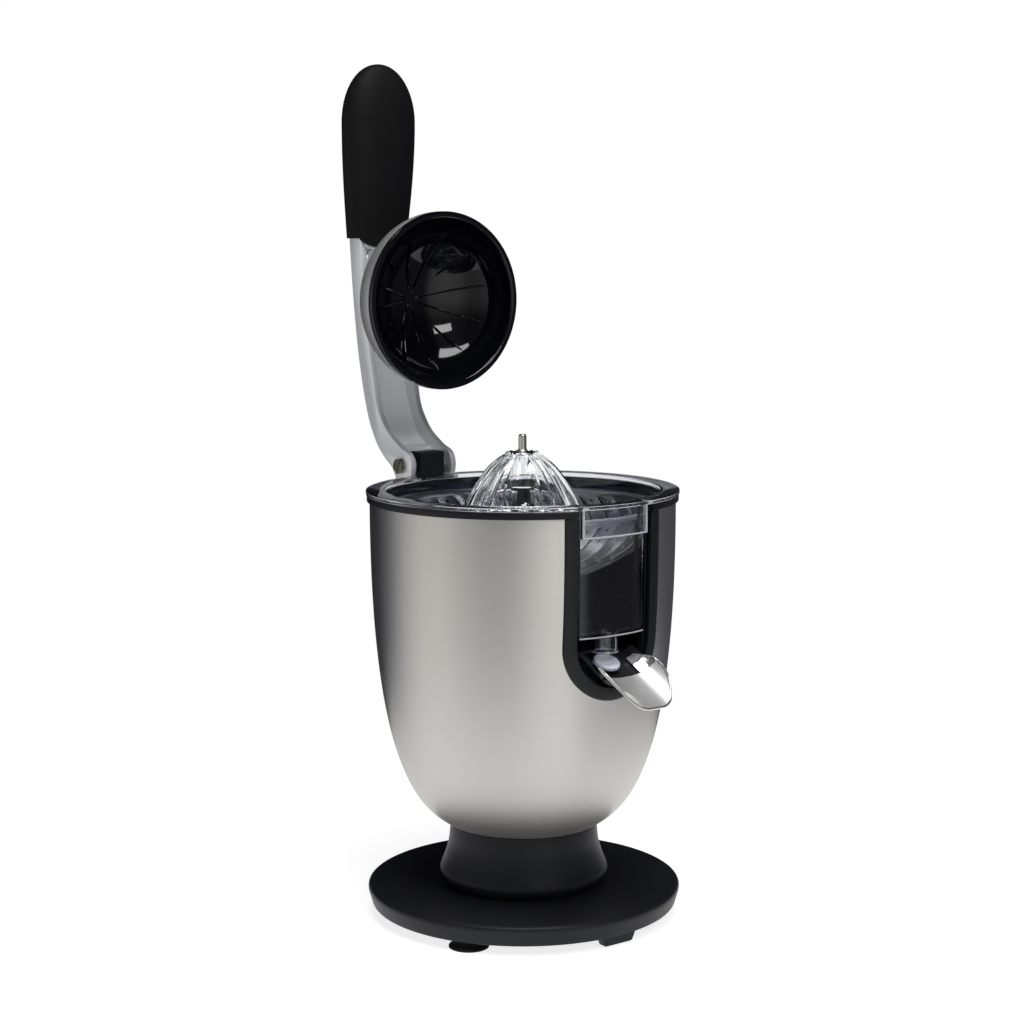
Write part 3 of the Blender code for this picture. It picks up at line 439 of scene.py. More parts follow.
def clear(name, colour, rough, transmission=1.0):
    """Clear plastic with faint moulding haze and slow waves in its surface."""
    m = Nodes(name)
    at = m.coordinates()
    m.set(Base_Color=(*colour, 1.0), IOR=1.47, Transmission_Weight=transmission)
    m.feed(m.remap(m.noise(at, 40.0), 0.0, rough), "Roughness")
    m.bump(m.noise(at, 22.0, 1.0), 0.004, 0.001)
    return m.mat


STEEL = brushed("brushed_steel", (0.51, 0.50, 0.48), (0.585, 0.57, 0.545), 0.38, 26.0,
                (0.12, 0.12, 80.0), 0.04, anisotropy=0.8)
# the strainer's two steels: the inside is darker, a painted shade, and the outside is matt and
# lighter, a painted light
SIEVE_PAINTED_SHADE = brushed("sieve_painted_shade", (0.30, 0.31, 0.34), (0.42, 0.43, 0.46), 0.20, 40.0,
                      (1.0, 1.0, 6.0), 0.03)
SIEVE_MATT_PAINTED_LIGHT = brushed("sieve_matt_painted_light", (0.66, 0.65, 0.63), (0.80, 0.79, 0.77), 0.34, 40.0,
                     (1.0, 1.0, 6.0), 0.03, metal=0.55)
SPOUT_STEEL = brushed("satin_steel", (0.84, 0.835, 0.83), (0.93, 0.925, 0.92), 0.36, 30.0,
                      (12.0, 0.3, 1.0), 0.04, metal=0.8)
POLISHED = brushed("polished_steel", (0.66, 0.65, 0.64), (0.76, 0.755, 0.74), 0.14, 30.0,
                   (1.0, 0.12, 1.0), 0.02)
CAST = brushed("cast_aluminium", (0.74, 0.75, 0.78), (0.86, 0.87, 0.90), 0.32, 140.0,
               bump=0.06, metal=0.45)
# a lighter, less metallic copy of the cast aluminium: painted light on the channel floor and
# the grip shelf, where the cup shades them
CAST_PAINTED_LIGHT = brushed("cast_painted_light", (0.88, 0.89, 0.92), (0.96, 0.97, 0.99), 0.36, 140.0,
                     bump=0.06, metal=0.15)
ZINC = brushed("zinc_steel", (0.42, 0.42, 0.41), (0.58, 0.57, 0.55), 0.30, 200.0)
SHELL_STEEL = brushed("shell_steel", (0.62, 0.62, 0.63), (0.74, 0.74, 0.75), 0.26, 90.0,
                      bump=0.03, metal=0.7)
PIN_STEEL = brushed("pin_steel", (0.10, 0.09, 0.07), (0.22, 0.20, 0.16), 0.24, 160.0,
                    bump=0.04)
BLACK = plastic("black_plastic", (0.0110, 0.0115, 0.0150), (0.0160, 0.0168, 0.0215), 0.42,
                900.0, 0.05, 0.18)
TUB_BLACK = plastic("tub_plastic", (0.008, 0.009, 0.030), (0.013, 0.014, 0.045), 0.50,
                    900.0, 0.05, 0.2)
RING_BLACK = plastic("ring_plastic", (0.005, 0.0055, 0.0085), (0.008, 0.0085, 0.0125), 0.36,
                     700.0, 0.03, 0.24)
FRAME_BLACK = plastic("frame_plastic", (0.005, 0.0065, 0.0075), (0.009, 0.011, 0.0125), 0.38,
                      700.0, 0.03, 0.26)
GLOSS = plastic("gloss_black", (0.0015, 0.0017, 0.0030), (0.003, 0.0033, 0.0055), 0.06,
                500.0, 0.004, 0.28, 0.2)
GRIP = plastic("soft_touch", (0.0030, 0.0030, 0.0036), (0.0050, 0.0050, 0.0060), 0.62,
               1400.0, 0.09, 0.14)
RUBBER = plastic("rubber", (0.006, 0.006, 0.006), (0.014, 0.014, 0.014), 0.75, 600.0, 0.12,
                 0.3)
SILICONE = plastic("silicone", (0.80, 0.81, 0.94), (0.86, 0.87, 0.97), 0.45, 500.0, 0.05)
NYLON = plastic("gear_nylon", (0.72, 0.70, 0.64), (0.82, 0.80, 0.74), 0.45, 500.0, 0.05)
CLEAR = clear("clear_plastic", (0.91, 0.92, 0.975), 0.006)
# a whitish, rough, half-clear finish for the container's edges: painted highlights
CLEAR_PAINTED_HIGHLIGHT = clear("clear_painted_highlight", (0.92, 0.93, 0.98), 0.30, 0.5)
CLEAR_CONE = clear("clear_cone", (0.97, 0.975, 0.985), 0.006)

SLOT_MATERIALS = {
    "brushed_steel": SIEVE_PAINTED_SHADE, "polished_steel": POLISHED, "cast_aluminium": CAST,
    "black_plastic": BLACK, "gloss_black": GLOSS, "soft_touch": GRIP, "rubber": RUBBER,
    "silicone": SILICONE, "clear_plastic": CLEAR, "gear_nylon": NYLON, "zinc_steel": ZINC,
}
NODE_MATERIALS = {"inner_tub": TUB_BLACK, "spindle": BLACK, "hinge_pin": PIN_STEEL}


def finish_of(part):
    """The material of a node: its own, or the one of its material slot."""
    return NODE_MATERIALS.get(part["node"], SLOT_MATERIALS[part["material_slot"]])


def paint_nodes():
    """Gives every carried-over node its finish."""
    for part in frame["record"]["subparts"]:
        set_materials(frame["nodes"][part["node"]], finish_of(part))


def refine(node, width):
    """A finer copy of a carried-over node, with its edges broken."""
    record = frame["record"]
    part = next(p for p in record["subparts"] if p["node"] == node)
    body = next(b for b, names in record["behaviour"]["bodies"].items() if node in names)
    obj = new_object(node + "_fine", frame["nodes"][node].data.copy())
    bm = bmesh.new()
    bm.from_mesh(obj.data)
    merge(bm, 1e-6)
    bmesh.ops.dissolve_limit(bm, angle_limit=math.radians(1.0), verts=bm.verts,
                             edges=bm.edges)
    bm.to_mesh(obj.data)
    bm.free()
    bevel(obj, width, 3, 32.0)
    set_materials(obj, finish_of(part))
    attach(obj, body, [node])


# ------------------------------------------------------------ base and bowl
def build_base():
    """The base disc with its front tab, the neck and the suction feet."""
    section = rounded([(NECK_BORE, 18.0, 0), (95.2, 18.0, 2.2), (96.7, 15.6, 2.2),
                       (93.9, 6.2, 1.0), (92.9, 5.7, 0.5), (91.1, 5.7, 0.5),
                       (92.4, 14.2, 1.0), (90.6, 15.0, 1.0), (NECK_BORE, 15.0, 0)], 6)
    base = lathe("base_top", section, BLACK, "housing", ["base_disc"], 200)
    tab = [(-13.9, 9.0), (-10.6, 1.6), (-9.4, 1.0), (9.4, 1.0), (10.6, 1.6), (13.9, 9.0)]
    join(base, prism_rows(tab, -92.9, -88.4, "XZ"))
    shade(base)
    set_materials(base, BLACK)

    section = rounded([(45.0, 55.9, 0.8), (45.6, 50.0, 3.0), (46.3, 42.4, 6.0),
                       (49.2, 33.0, 6.0), (52.7, 25.2, 3.4), (50.4, 21.0, 2.0),
                       (47.6, 18.3, 0.4), (44.4, 18.3, 0.4), (48.3, 25.0, 2.0),
                       (43.3, 42.4, 6.0), (42.0, 55.9, 0.4)], 6)
    lathe("neck", section, BLACK, "housing", ["neck_collar"])

    section = rounded([(0.01, 5.7, 0), (6.8, 5.7, 0.5), (7.2, 4.0, 1.0), (9.0, 2.4, 1.2),
                       (12.0, 1.0, 0.6), (12.0, 0.0, 0.3), (7.0, 0.0, 0.3), (0.01, 0.8, 0)])
    for foot in ("foot_front_left", "foot_front_right", "foot_rear"):
        node = "suction_" + foot
        low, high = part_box(node)
        cx = (low.x + high.x) / 2.0 / MM
        cy = ((low.y + high.y) / 2.0 - AXIS_Y) / MM
        rows = [[(x + cx, y + cy, z) for x, y, z in row] for row in lathe_rows(section, 48)]
        piece(foot + "_fine", rows, RUBBER, "housing", [node], ring=True, weld=3e-5)


def bowl_section(top, bottom, count):
    """The bowl's outside from top to bottom, closer together towards the bottom."""
    out = []
    for i in range(count + 1):
        z = top + (bottom - top) * math.sin(0.5 * math.pi * i / count)
        out.append((bowl_radius(z), z))
    return out


def u_outline(half, top, steps=40):
    """The front view of the U slot."""
    out = [(half, top)]
    for i in range(steps + 1):
        a = -math.pi * i / steps
        out.append((half * math.cos(a), SLOT_Z + half * math.sin(a)))
    return out + [(-half, top)]


def build_bowl():
    """The steel bowl with its slot cut out."""
    outer = bowl_section(BOWL_TOP, 59.6, 60)
    outer += [(49.5, 57.8), (47.2, 56.6), (45.4, BOWL_BOTTOM)]
    inner = [(r - 0.85, z + 0.5) for r, z in reversed(outer[1:-1])]
    floor = BOWL_BOTTOM + BOWL_SHEET
    section = outer + [(NECK_BORE, BOWL_BOTTOM), (NECK_BORE, floor), (45.0, floor)]
    section += inner + [(outer[0][0] - BOWL_SHEET, BOWL_TOP)]
    shell = lathe("bowl", section, STEEL, "housing", ["housing_shell"], 256)
    cut(shell, prism_rows(u_outline(SLOT_OUT + 0.3, 275.0), -120.0, -50.0, "XZ"))
    shade(shell)


def swept_frame(name, outer, inner, front, back, edge, nodes):
    """A U-shaped frame that follows the bowl: outer and inner half-widths in front
    view, and its front and back distances from the bowl's surface."""
    middle = (outer + inner) / 2.0
    half = (outer - inner) / 2.0
    section = rounded([(-half, front, edge), (half, front, edge), (half, back, edge * 0.5),
                       (-half, back, edge * 0.5)])
    stations = []
    straight, bend = 26, 60
    for i in range(straight):
        z = BOWL_TOP + (SLOT_Z - BOWL_TOP) * i / straight
        stations.append((middle, z, 1.0, 0.0))
    for i in range(bend + 1):
        a = -math.pi * i / bend
        c, s = math.cos(a), math.sin(a)
        stations.append((middle * c, SLOT_Z + middle * s, c, s))
    for i in range(1, straight + 1):
        z = SLOT_Z + (BOWL_TOP - SLOT_Z) * i / straight
        stations.append((-middle, z, -1.0, 0.0))
    rows = []
    for x, z, nx, nz in stations:
        row = []
        for across, out in section:
            px, pz = x + nx * across, z + nz * across
            r = bowl_radius(pz) + out
            row.append((px, -math.sqrt(max(r * r - px * px, 1.0)), pz))
        rows.append(row)
    piece(name, rows, FRAME_BLACK, "housing", nodes, 50.0)


def build_rim():
    """The frame of the slot, its stepped liner and the ring on the bowl."""
    swept_frame("slot_surround", SLOT_OUT, SLOT_IN, 1.0, -2.7, 0.9, ["slot_frame"])
    swept_frame("slot_step", SLOT_IN - 0.3, LINER_IN, -2.9, -6.4, 0.3, ["slot_liner"])

    half = math.asin((SLOT_IN + 0.1) / 91.0)
    section = rounded([(RIM_R, 255.4, 0.5), (RIM_IN, 255.4, 0.4), (RIM_IN, 259.4, 0.4),
                       (RIM_R, 259.4, 1.0)], 5)
    section.reverse()
    lathe("rim_ring", section, RING_BLACK, "housing", ["top_ring"], 200,
          -math.pi / 2 + half, TAU - 2 * half)


# ------------------------------------------------------------ container and strainer
def front_part(inner, outer, low, high, half, back):
    """A ring kept between X = -half and X = half, in front of Y = back."""
    profile = [(inner, high), (outer, high), (outer, low), (inner, low)]
    shape = tool(lathe_rows(profile, 160, -math.pi / 2 - 0.6, 1.2))
    outline = [(-half, back), (-half, -110.0), (half, -110.0), (half, back)]
    return combine(shape, tool(prism_rows(outline, 150.0, 280.0, "XY")), "INTERSECT")


def build_container():
    """The clear tank with its flange, centre tube, window box, lip and outlet."""
    section = rounded([(FLANGE_R, FLANGE_TOP, 0.7), (FLANGE_R, FLANGE_LOW, 0.4),
                       (85.0, FLANGE_LOW, 0.4), (84.0, 184.2, 1.5), (9.0, 184.2, 0.4),
                       (9.0, 216.0, 0.3), (11.0, 216.0, 0.6), (11.0, 186.0, 1.0),
                       (80.3, 186.0, 1.5), (81.5, 249.4, 0.3), (83.3, 249.4, 0.3),
                       (83.3, 262.0, 0.5)])
    tank = lathe("clear_container", section, CLEAR, "container",
                 ["juice_container"])
    combine(tank, front_part(50.0, BOX_R, 183.9, BOX_TOP, BOX_HALF, BOX_BACK), "UNION")
    combine(tank, front_part(90.2, LIP_R, LIP_LOW, BOX_TOP, BOX_HALF, BOX_BACK), "UNION")
    for side in (-1, 1):
        low, high = sorted((side * BOX_HALF, side * BOX_INNER_HALF))
        outline = [(low, -89.0), (high, -89.0), (high, -86.0), (low, -86.0)]
        join(tank, prism_rows(outline, LIP_LOW, BOX_TOP, "XY"))
    combine(tank, front_part(50.0, 87.1, 186.3, 270.0, BOX_INNER_HALF, -66.0))
    outlet = (0.0, OUTLET_Y, 0.0)
    join(tank, drum_rows(outlet, "Z", OUTLET_R, 173.8, 185.5))
    cut(tank, drum_rows(outlet, "Z", OUTLET_BORE, 170.0, 190.0))
    bevel(tank, 0.35, 2, 40.0)
    set_materials(tank, CLEAR, CLEAR_PAINTED_HIGHLIGHT)
    for face in tank.data.polygons:
        if is_painted_highlight_face(face):
            face.material_index = 1
    shade(tank, 30.0)


def is_painted_highlight_face(face):
    """True on the narrow faces of the clear container that get the whitish half-clear finish,
    a painted highlight.
    """
    x, y, z = face.center.x / MM, (face.center.y - AXIS_Y) / MM, face.center.z / MM
    if math.hypot(x, y - OUTLET_Y) < OUTLET_R + 0.2 and z < 175.0:
        return True
    if y > -70.0 or abs(x) > BOX_HALF + 0.5:
        return False
    if 183.7 < z < 186.4:
        return y < -86.9 and abs(face.normal.z) < 0.8
    if y < -85.9 and z > LIP_LOW - 0.1:
        return z < LIP_LOW + 0.5 or (abs(x) > BOX_INNER_HALF - 0.05 and z < 261.0)
    return False


def build_edge_beads():
    """The rounded edges of the container's lip, floor and outlet, in the whitish half-clear
    finish that paints their highlights.
    """
    xs = [23.5 * math.sin(math.pi * (i / 40.0 - 0.5)) for i in range(41)]
    round_lip = [(x, -math.sqrt(91.7 ** 2 - x ** 2)) for x in xs]
    round_floor = [(x, -math.sqrt(88.7 ** 2 - x ** 2)) for x in xs]
    round_outlet = [(7.3 * math.cos(TAU * i / 48), OUTLET_Y + 7.3 * math.sin(TAU * i / 48))
                    for i in range(49)]
    sides = (243.3, 249.0, 255.0, 260.6)
    for name, path, radius in (
            ("lip_edge", [(x, y, 243.3) for x, y in round_lip], 0.55),
            ("lip_side_left", [(*round_lip[0], z) for z in sides], 0.55),
            ("lip_side_right", [(*round_lip[-1], z) for z in sides], 0.55),
            ("floor_edge", [(x, y, 184.7) for x, y in round_floor], 0.45),
            ("outlet_edge", [(x, y, 174.3) for x, y in round_outlet], 0.6)):
        piece(name, bead_rows(path, radius), CLEAR_PAINTED_HIGHLIGHT, "container")


def blast_outside_paint_shade_and_light(obj):
    """Polished steel inside, darkened as painted shade, and matt blasted steel outside,
    lightened as painted light.
    """
    set_materials(obj, SIEVE_PAINTED_SHADE, SIEVE_MATT_PAINTED_LIGHT)
    for face in obj.data.polygons:
        outward = face.normal.x * face.center.x + face.normal.y * (face.center.y - AXIS_Y)
        if outward > 0.0:
            face.material_index = 1


def strainer_row(bm, r, z, turn, sectors):
    """One ring of points of the dish. Each sector has seven: the hole lies between
    the second and the fourth, and the slot between the last two, which stand out."""
    width = TAU / sectors
    hole_at, slot_at = 0.22, 0.72
    slot = min(0.9 / (width * r), 0.14)
    hole = min(0.7 / (width * r), 0.19)
    cuts = (0.0, hole_at - hole, hole_at, hole_at + hole, 0.47, slot_at - slot, slot_at + slot)
    row = []
    for k in range(sectors):
        for n, u in enumerate(cuts):
            a = width * (k + u) + turn
            q = r + SLOT_LIFT if n > 4 else r
            row.append(bm.verts.new(place((q * math.cos(a), q * math.sin(a), z))))
    return row


def build_strainer():
    """A pressed steel dish: leaning slots and small round holes on a twisted grid."""
    line = catmull([(80.0, 249.2), (79.7, 243.5), (78.4, 237.4), (74.0, 230.9), (66.0, 225.0),
                    (56.0, 219.1), (45.0, 213.7), (33.5, 208.7), (22.0, 204.7),
                    (12.3, 202.4)], 4)
    run = [0.0]
    for a, b in zip(line, line[1:]):
        run.append(run[-1] + math.dist(a, b))
    down, sectors, twist = 96, 36, math.radians(-50.0)
    # shares of the way down: the three bands of slots, and the rows of holes
    slot_bands = [(0.02, 0.31), (0.37, 0.60), (0.67, 0.84)]
    hole_shares = (0.04, 0.11, 0.18, 0.25, 0.33, 0.42, 0.50, 0.58, 0.70, 0.80)
    hole_rows = [int(down * v) for v in hole_shares]
    slot_column, hole_columns, columns = 5, (1, 2), 7

    bm = bmesh.new()
    rows = []
    for j in range(down + 1):
        s = run[-1] * j / down
        i = max(k for k in range(len(run) - 1) if run[k] <= s + 1e-9)
        t = (s - run[i]) / (run[i + 1] - run[i])
        r, z = (line[i][0] + (line[i + 1][0] - line[i][0]) * t,
                line[i][1] + (line[i + 1][1] - line[i][1]) * t)
        rows.append(strainer_row(bm, r, z, twist * j / down, sectors))
    for j in range(down):
        v = (j + 0.5) / down
        in_slot = any(low < v < high for low, high in slot_bands)
        in_hole = j in hole_rows or j - 1 in hole_rows
        for i in range(len(rows[0])):
            column = i % columns
            if (column == slot_column and in_slot) or (column in hole_columns and in_hole):
                continue
            n = (i + 1) % len(rows[0])
            bm.faces.new((rows[j][i], rows[j][n], rows[j + 1][n], rows[j + 1][i]))
    loose = [v for v in bm.verts if not v.link_faces]
    bmesh.ops.delete(bm, geom=loose, context="VERTS")
    dish = finish_mesh("sieve_dish", bm, SIEVE_PAINTED_SHADE, None)
    mod = dish.modifiers.new("sheet", "SOLIDIFY")
    mod.thickness = 0.7 * MM
    mod.offset = 0.0
    apply_modifiers(dish)
    blast_outside_paint_shade_and_light(dish)
    shade(dish, 40.0)
    attach(dish, "sieve")

    band = rounded([(82.9, 252.6, 1.2), (82.9, 249.7, 0.5), (80.5, 249.6, 0.4),
                    (80.4, 248.9, 0.2), (79.6, 248.9, 0.2), (79.6, 252.6, 1.4)], 5)
    blast_outside_paint_shade_and_light(lathe("sieve_band", band, None, "sieve", ["strainer"], 192))


# ------------------------------------------------------------ reamer cone
def ribbed(line, wall):
    """Rows of the dome's outside, or of its inside when a wall is given."""
    steps = CONE_RIBS * 20
    rows = []
    for i in range(steps):
        a = TAU * i / steps
        phase = (a - CONE_PHASE) * CONE_RIBS / TAU
        ridge = abs((phase % 1.0) - 0.5) * 2.0       # 1 on a rib, 0 between two
        row = []
        for r, z in line:
            depth = 2.2 * min(1.0, max(0.0, (r - 7.0) / 6.0))
            q = max(r - depth * (1.0 - ridge) ** 1.2 - wall, 0.0)
            lift = 0.9 * ridge ** 2 * max(0.0, 1.0 - abs(r - 9.4) / 2.6)
            row.append((q * math.cos(a), q * math.sin(a), z + lift - 0.6 * wall))
        rows.append(row)
    return rows


def build_cone():
    """The ribbed dome with its hub, the dark core in the hub and the metal tip."""
    dome = [(8.0, 283.9), (9.8, 283.4), (12.0, 282.2), (15.4, 280.0), (19.6, 276.4),
            (23.2, 272.4), (29.7, 262.8), (35.8, 251.4), (40.8, 239.0), (44.8, 220.5)]
    outer = [(0.0, 283.9), (4.0, 283.9)] + catmull(dome)
    inner = catmull(dome[1:-1] + [(44.4, 221.6)])
    hub = [(7.6, 281.2), (7.5, 278.0), (7.5, 221.5), (4.8, 221.5), (4.8, 262.3), (0.0, 262.3)]
    rows = []
    for outside, inside in zip(ribbed(outer, 0.0), ribbed(inner, CONE_WALL)):
        a = math.atan2(outside[-1][1], outside[-1][0])
        c, s = math.cos(a), math.sin(a)
        inside = list(reversed(inside))
        inside[0] = (inside[0][0], inside[0][1], 220.5)
        rows.append(outside + inside + [(r * c, r * s, z) for r, z in hub])
    bm = bmesh.new()
    skin(bm, rows, ring=True, closed=False)
    merge(bm, 2e-6)
    finish_mesh("clear_cone", bm, CLEAR_CONE, "cone", ["reamer_cone"], 60.0)

    core = rounded([(4.85, 221.7, 0.2), (8.1, 221.7, 0.5), (8.1, 240.0, 2.0),
                    (6.6, 251.5, 1.5), (4.85, 252.5, 0.2)], 6)
    lathe("cone_core", core, BLACK, "cone", (), 64)

    section = rounded([(0.01, 294.8, 0), (2.4, 294.8, 1.6), (2.5, 285.6, 0.5),
                       (3.4, 284.8, 0.5), (3.4, 284.65, 0), (0.01, 284.65, 0)], 6)
    lathe("cone_tip", section, ZINC, "cone", ["reamer_pin"], 48)


# ------------------------------------------------------------ spout
def tip_down(points):
    """From the spout's level drawing, about its rod, to its place at rest."""
    c, s = math.cos(SPOUT_TILT), math.sin(SPOUT_TILT)
    return [(x, SPOUT_Y + y * c - z * s, SPOUT_Z + y * s + z * c) for x, y, z in points]


def tray_half(height, least=0.0):
    """Half of the tray's width at a height of its section."""
    rise = max(height - TRAY_FLOOR, least) / TRAY_RISE
    return TRAY_HALF * rise ** (1.0 / 3.0)


def tray_rim(y):
    """Height of the tray's edge along the spout."""
    knots = [(-14.0, 17.0), (-33.0, 17.0), (-40.0, 15.4), (-46.0, 13.2), (-51.0, 11.2),
             (-55.5, 9.6), (-58.2, 8.2)]
    for (y0, z0), (y1, z1) in zip(knots, knots[1:]):
        if y >= y1:
            t = (y0 - y) / (y0 - y1)
            return z0 + (z1 - z0) * t
    return knots[-1][1]


def build_spout():
    """The tray, its rolled edge and its two side walls."""
    rows = []
    count = 40
    stations = [-27.0 - 31.2 * (1 - (1 - i / 44.0) ** 1.5) for i in range(45)]
    for y in stations:
        half = tray_half(tray_rim(y), 0.05)
        inside, outside = [], []
        for i in range(count + 1):
            x = half * math.sin(math.pi * (i / count - 0.5))
            share = abs(x) / TRAY_HALF
            z = TRAY_FLOOR + TRAY_RISE * share ** 3
            slope = 3.0 * TRAY_RISE * share ** 2 / TRAY_HALF * (1 if x >= 0 else -1)
            n = math.hypot(1.0, slope)
            inside.append((x, y, z))
            outside.append((x + slope / n * TRAY_SHEET, y, z - TRAY_SHEET / n))
        rows.append(tip_down(inside + list(reversed(outside))))
    piece("spout_tray", rows, SPOUT_STEEL, "spout", ["spout_trough"], 40.0)

    edge = [(tray_half(tray_rim(y)), y, tray_rim(y)) for y in stations]
    path = [(-x, y, z) for x, y, z in edge] + [(x, y, z) for x, y, z in reversed(edge)]
    # the rolled edge is in the darker zinc steel, a painted dark reflection along the tray's
    # rim
    piece("spout_edge", bead_rows(tip_down(path), 0.65), ZINC, "spout")

    for side, word in ((-1, "left"), (1, "right")):
        rows = []
        for z in (9.4, 10.6, 12.0, 13.4, 14.6, 15.8, 16.9):
            x = side * tray_half(z)
            back = -12.0 - 2.2 * max(0.0, z - 12.0)
            rows.append(tip_down([(x, -26.9, z), (x, back, z), (x + side * 0.8, back, z),
                                  (x + side * 0.8, -26.9, z)]))
        wing = piece("spout_wing_" + word, rows, POLISHED, "spout")
        bevel(wing, 0.25, 2)


# ------------------------------------------------------------ lever
def build_arm():
    """The cast arm: a channel open to the front, with the cup's boss and hinge holes."""
    front = [(155.4, 425.0), (152.1, 412.7), (149.2, 385.0), (147.0, 358.3), (142.6, 338.0),
             (138.0, 318.0), (135.0, 305.0), (130.5, 296.6), (122.0, 287.2), (108.5, 279.2),
             (98.6, 275.2), (95.2, 268.4)]
    foot = [(96.6, 260.8), (101.0, 256.4), (107.0, 255.2), (113.0, 258.6)]
    rear = [(117.4, 265.0), (127.3, 271.8), (135.6, 279.8), (143.6, 292.6), (149.3, 308.6),
            (153.8, 326.0), (158.1, 348.1), (162.2, 379.3), (165.2, 412.0), (166.0, 425.0)]
    outline = catmull(front + foot + rear)
    arm = piece("arm", prism_rows(outline, -ARM_HALF, ARM_HALF), CAST, None)
    web = [(161.4, 421.0), (161.0, 410.0), (158.2, 380.0), (154.2, 350.0), (149.8, 328.0),
           (145.2, 309.0), (139.6, 295.0), (134.0, 286.0), (128.0, 280.4), (122.4, 277.9),
           (118.9, 277.3), (118.0, 275.9), (118.9, 274.6), (124.0, 274.0), (127.3, 272.6)]
    inside = catmull(web) + [(131.0, 264.0), (120.0, 240.0), (60.0, 240.0), (60.0, 421.0)]
    cut(arm, prism_rows(inside, -CHANNEL_HALF, CHANNEL_HALF))
    join(arm, drum_rows((0, 0, CUP_Z), "Y", 8.5, 126.1, 159.0))
    cut(arm, drum_rows((0, 0, CUP_Z), "Y", 5.0, 156.5, 175.0))
    cut(arm, drum_rows((0, HINGE_Y, HINGE_Z), "X", 3.8, -25.0, 25.0))
    bevel(arm, 0.7, 3, 40.0)
    # the channel floor's front faces get the lighter cast copy, a painted light
    set_materials(arm, CAST, CAST_PAINTED_LIGHT)
    for face in arm.data.polygons:
        middle, normal = face.center, face.normal
        if (normal.y < -0.3 and normal.z > -0.5 and middle.y > web_floor(middle.z)
                and abs(middle.x) < WEB_HALF * MM):
            face.material_index = 1
    attach(arm, "lever", ["lever_arm"])


def web_floor(z):
    """A line in metres that the channel's floor lies behind and the cup's boss in front of."""
    return min((z / MM - 262.0) * 0.9 + 100.0, 143.0) * MM + AXIS_Y


def web_front(z):
    """The channel floor's distance behind the bowl's axis at a height."""
    return 158.2 + (z - 380.0) * (161.0 - 158.2) / 30.0


def build_channel_ribs():
    """A cast loop and two cross ribs on the floor of the arm's channel."""
    loop = [(-8.0, 384.0), (-8.0, 396.0), (-7.4, 400.0), (-5.0, 403.0), (0.0, 404.0),
            (5.0, 403.0), (7.4, 400.0), (8.0, 396.0), (8.0, 384.0)]
    paths = [catmull(loop, 4), [(-WEB_HALF, 409.0), (0.0, 408.4), (WEB_HALF, 409.0)],
             [(-WEB_HALF, 381.0), (WEB_HALF, 381.0)]]
    section = ((-1.3, -0.4), (-0.8, 1.4), (0.0, 1.8), (0.8, 1.4), (1.3, -0.4))
    for n, path in enumerate(paths):
        rows = []
        for i, (x, z) in enumerate(path):
            ax, az = path[max(i - 1, 0)]
            bx, bz = path[min(i + 1, len(path) - 1)]
            length = math.hypot(bx - ax, bz - az)
            nx, nz = -(bz - az) / length, (bx - ax) / length
            row = []
            for across, out in section:
                px, pz = x + nx * across, z + nz * across
                row.append((px, web_front(pz) - out, pz))
            rows.append(row)
        piece("channel_rib_%d" % (n + 1), rows, CAST, "lever")


def build_grip_shelf():
    """The edge of the casting under the arch of the grip, in the lighter cast copy that paints
    light on it.
    """
    rows = []
    front, back, thick = 150.9, 160.8, 1.5
    for i in range(25):
        x = WEB_HALF * math.cos(math.pi * i / 24.0)
        z = 411.35 - 5.8 * math.sin(math.acos(x / ARCH_HALF)) ** ARCH_POWER
        rows.append([(x, front, z), (x, front, z - thick), (x, back, z - thick), (x, back, z)])
    shelf = piece("grip_shelf", rows, CAST_PAINTED_LIGHT, "lever")
    bevel(shelf, 0.35, 2, 40.0)


def superellipse(half_x, half_y, centre_y, z, count=72, power=2.5):
    """A level closed outline between an ellipse and a box."""
    out = []
    for i in range(count):
        a = TAU * i / count
        c, s = math.cos(a), math.sin(a)
        out.append((half_x * math.copysign(abs(c) ** (2.0 / power), c),
                    centre_y + half_y * math.copysign(abs(s) ** (2.0 / power), s), z))
    return out


def build_grip():
    """The grip: straight sides, a round top, and an arch cut in its lower front edge."""
    low, waist, top = GRIP_LOW, 486.0, 523.4
    rows = []
    levels = [GRIP_DIP] + [low + (waist - low) * i / 18.0 for i in range(19)]
    levels += [waist + (top - waist) * math.sin(math.radians(a)) for a in range(6, 90, 5)]
    for z in levels:
        t = max(0.0, (min(z, waist) - low) / (waist - low))
        half_x = 21.2 + 4.8 * math.sin(t * math.pi / 2)
        half_y = 11.8 + 1.6 * math.sin(t * math.pi / 2)
        if z > waist:
            shrink = math.sqrt(max(0.0, 1.0 - ((z - waist) / (top - waist)) ** 2))
            half_x *= shrink
            half_y *= shrink ** 0.75
        lean = max(0.0, min(1.0, (z - low) / 90.0))
        centre = 158.9 - 3.6 * math.sin(lean * math.pi / 2)
        rows.append(superellipse(half_x, half_y, centre, z))
    grip = piece("grip", rows, GRIP, None)
    front = GRIP_FRONT
    behind = [(-30.0, front), (30.0, front), (30.0, 190.0), (-30.0, 190.0)]
    cut(grip, prism_rows(behind, 400.0, low, "XY"))
    below = [(30.0, 400.0), (30.0, low)]
    for i in range(25):
        a = math.pi * i / 24
        below.append((ARCH_HALF * math.cos(a),
                      low - (low - GRIP_DIP) * math.sin(a) ** ARCH_POWER))
    below += [(-30.0, low), (-30.0, 400.0)]
    cut(grip, prism_rows(below, 130.0, front + 0.5, "XZ"))
    neck = [(-17.5, front), (17.5, front), (17.5, 167.4), (-17.5, 167.4)]
    cut(grip, prism_rows(neck, 400.0, 424.0, "XY"))
    bevel(grip, 0.9, 3, 50.0)
    set_materials(grip, GRIP)
    shade(grip, 45.0)
    attach(grip, "lever", ["handle_grip"])


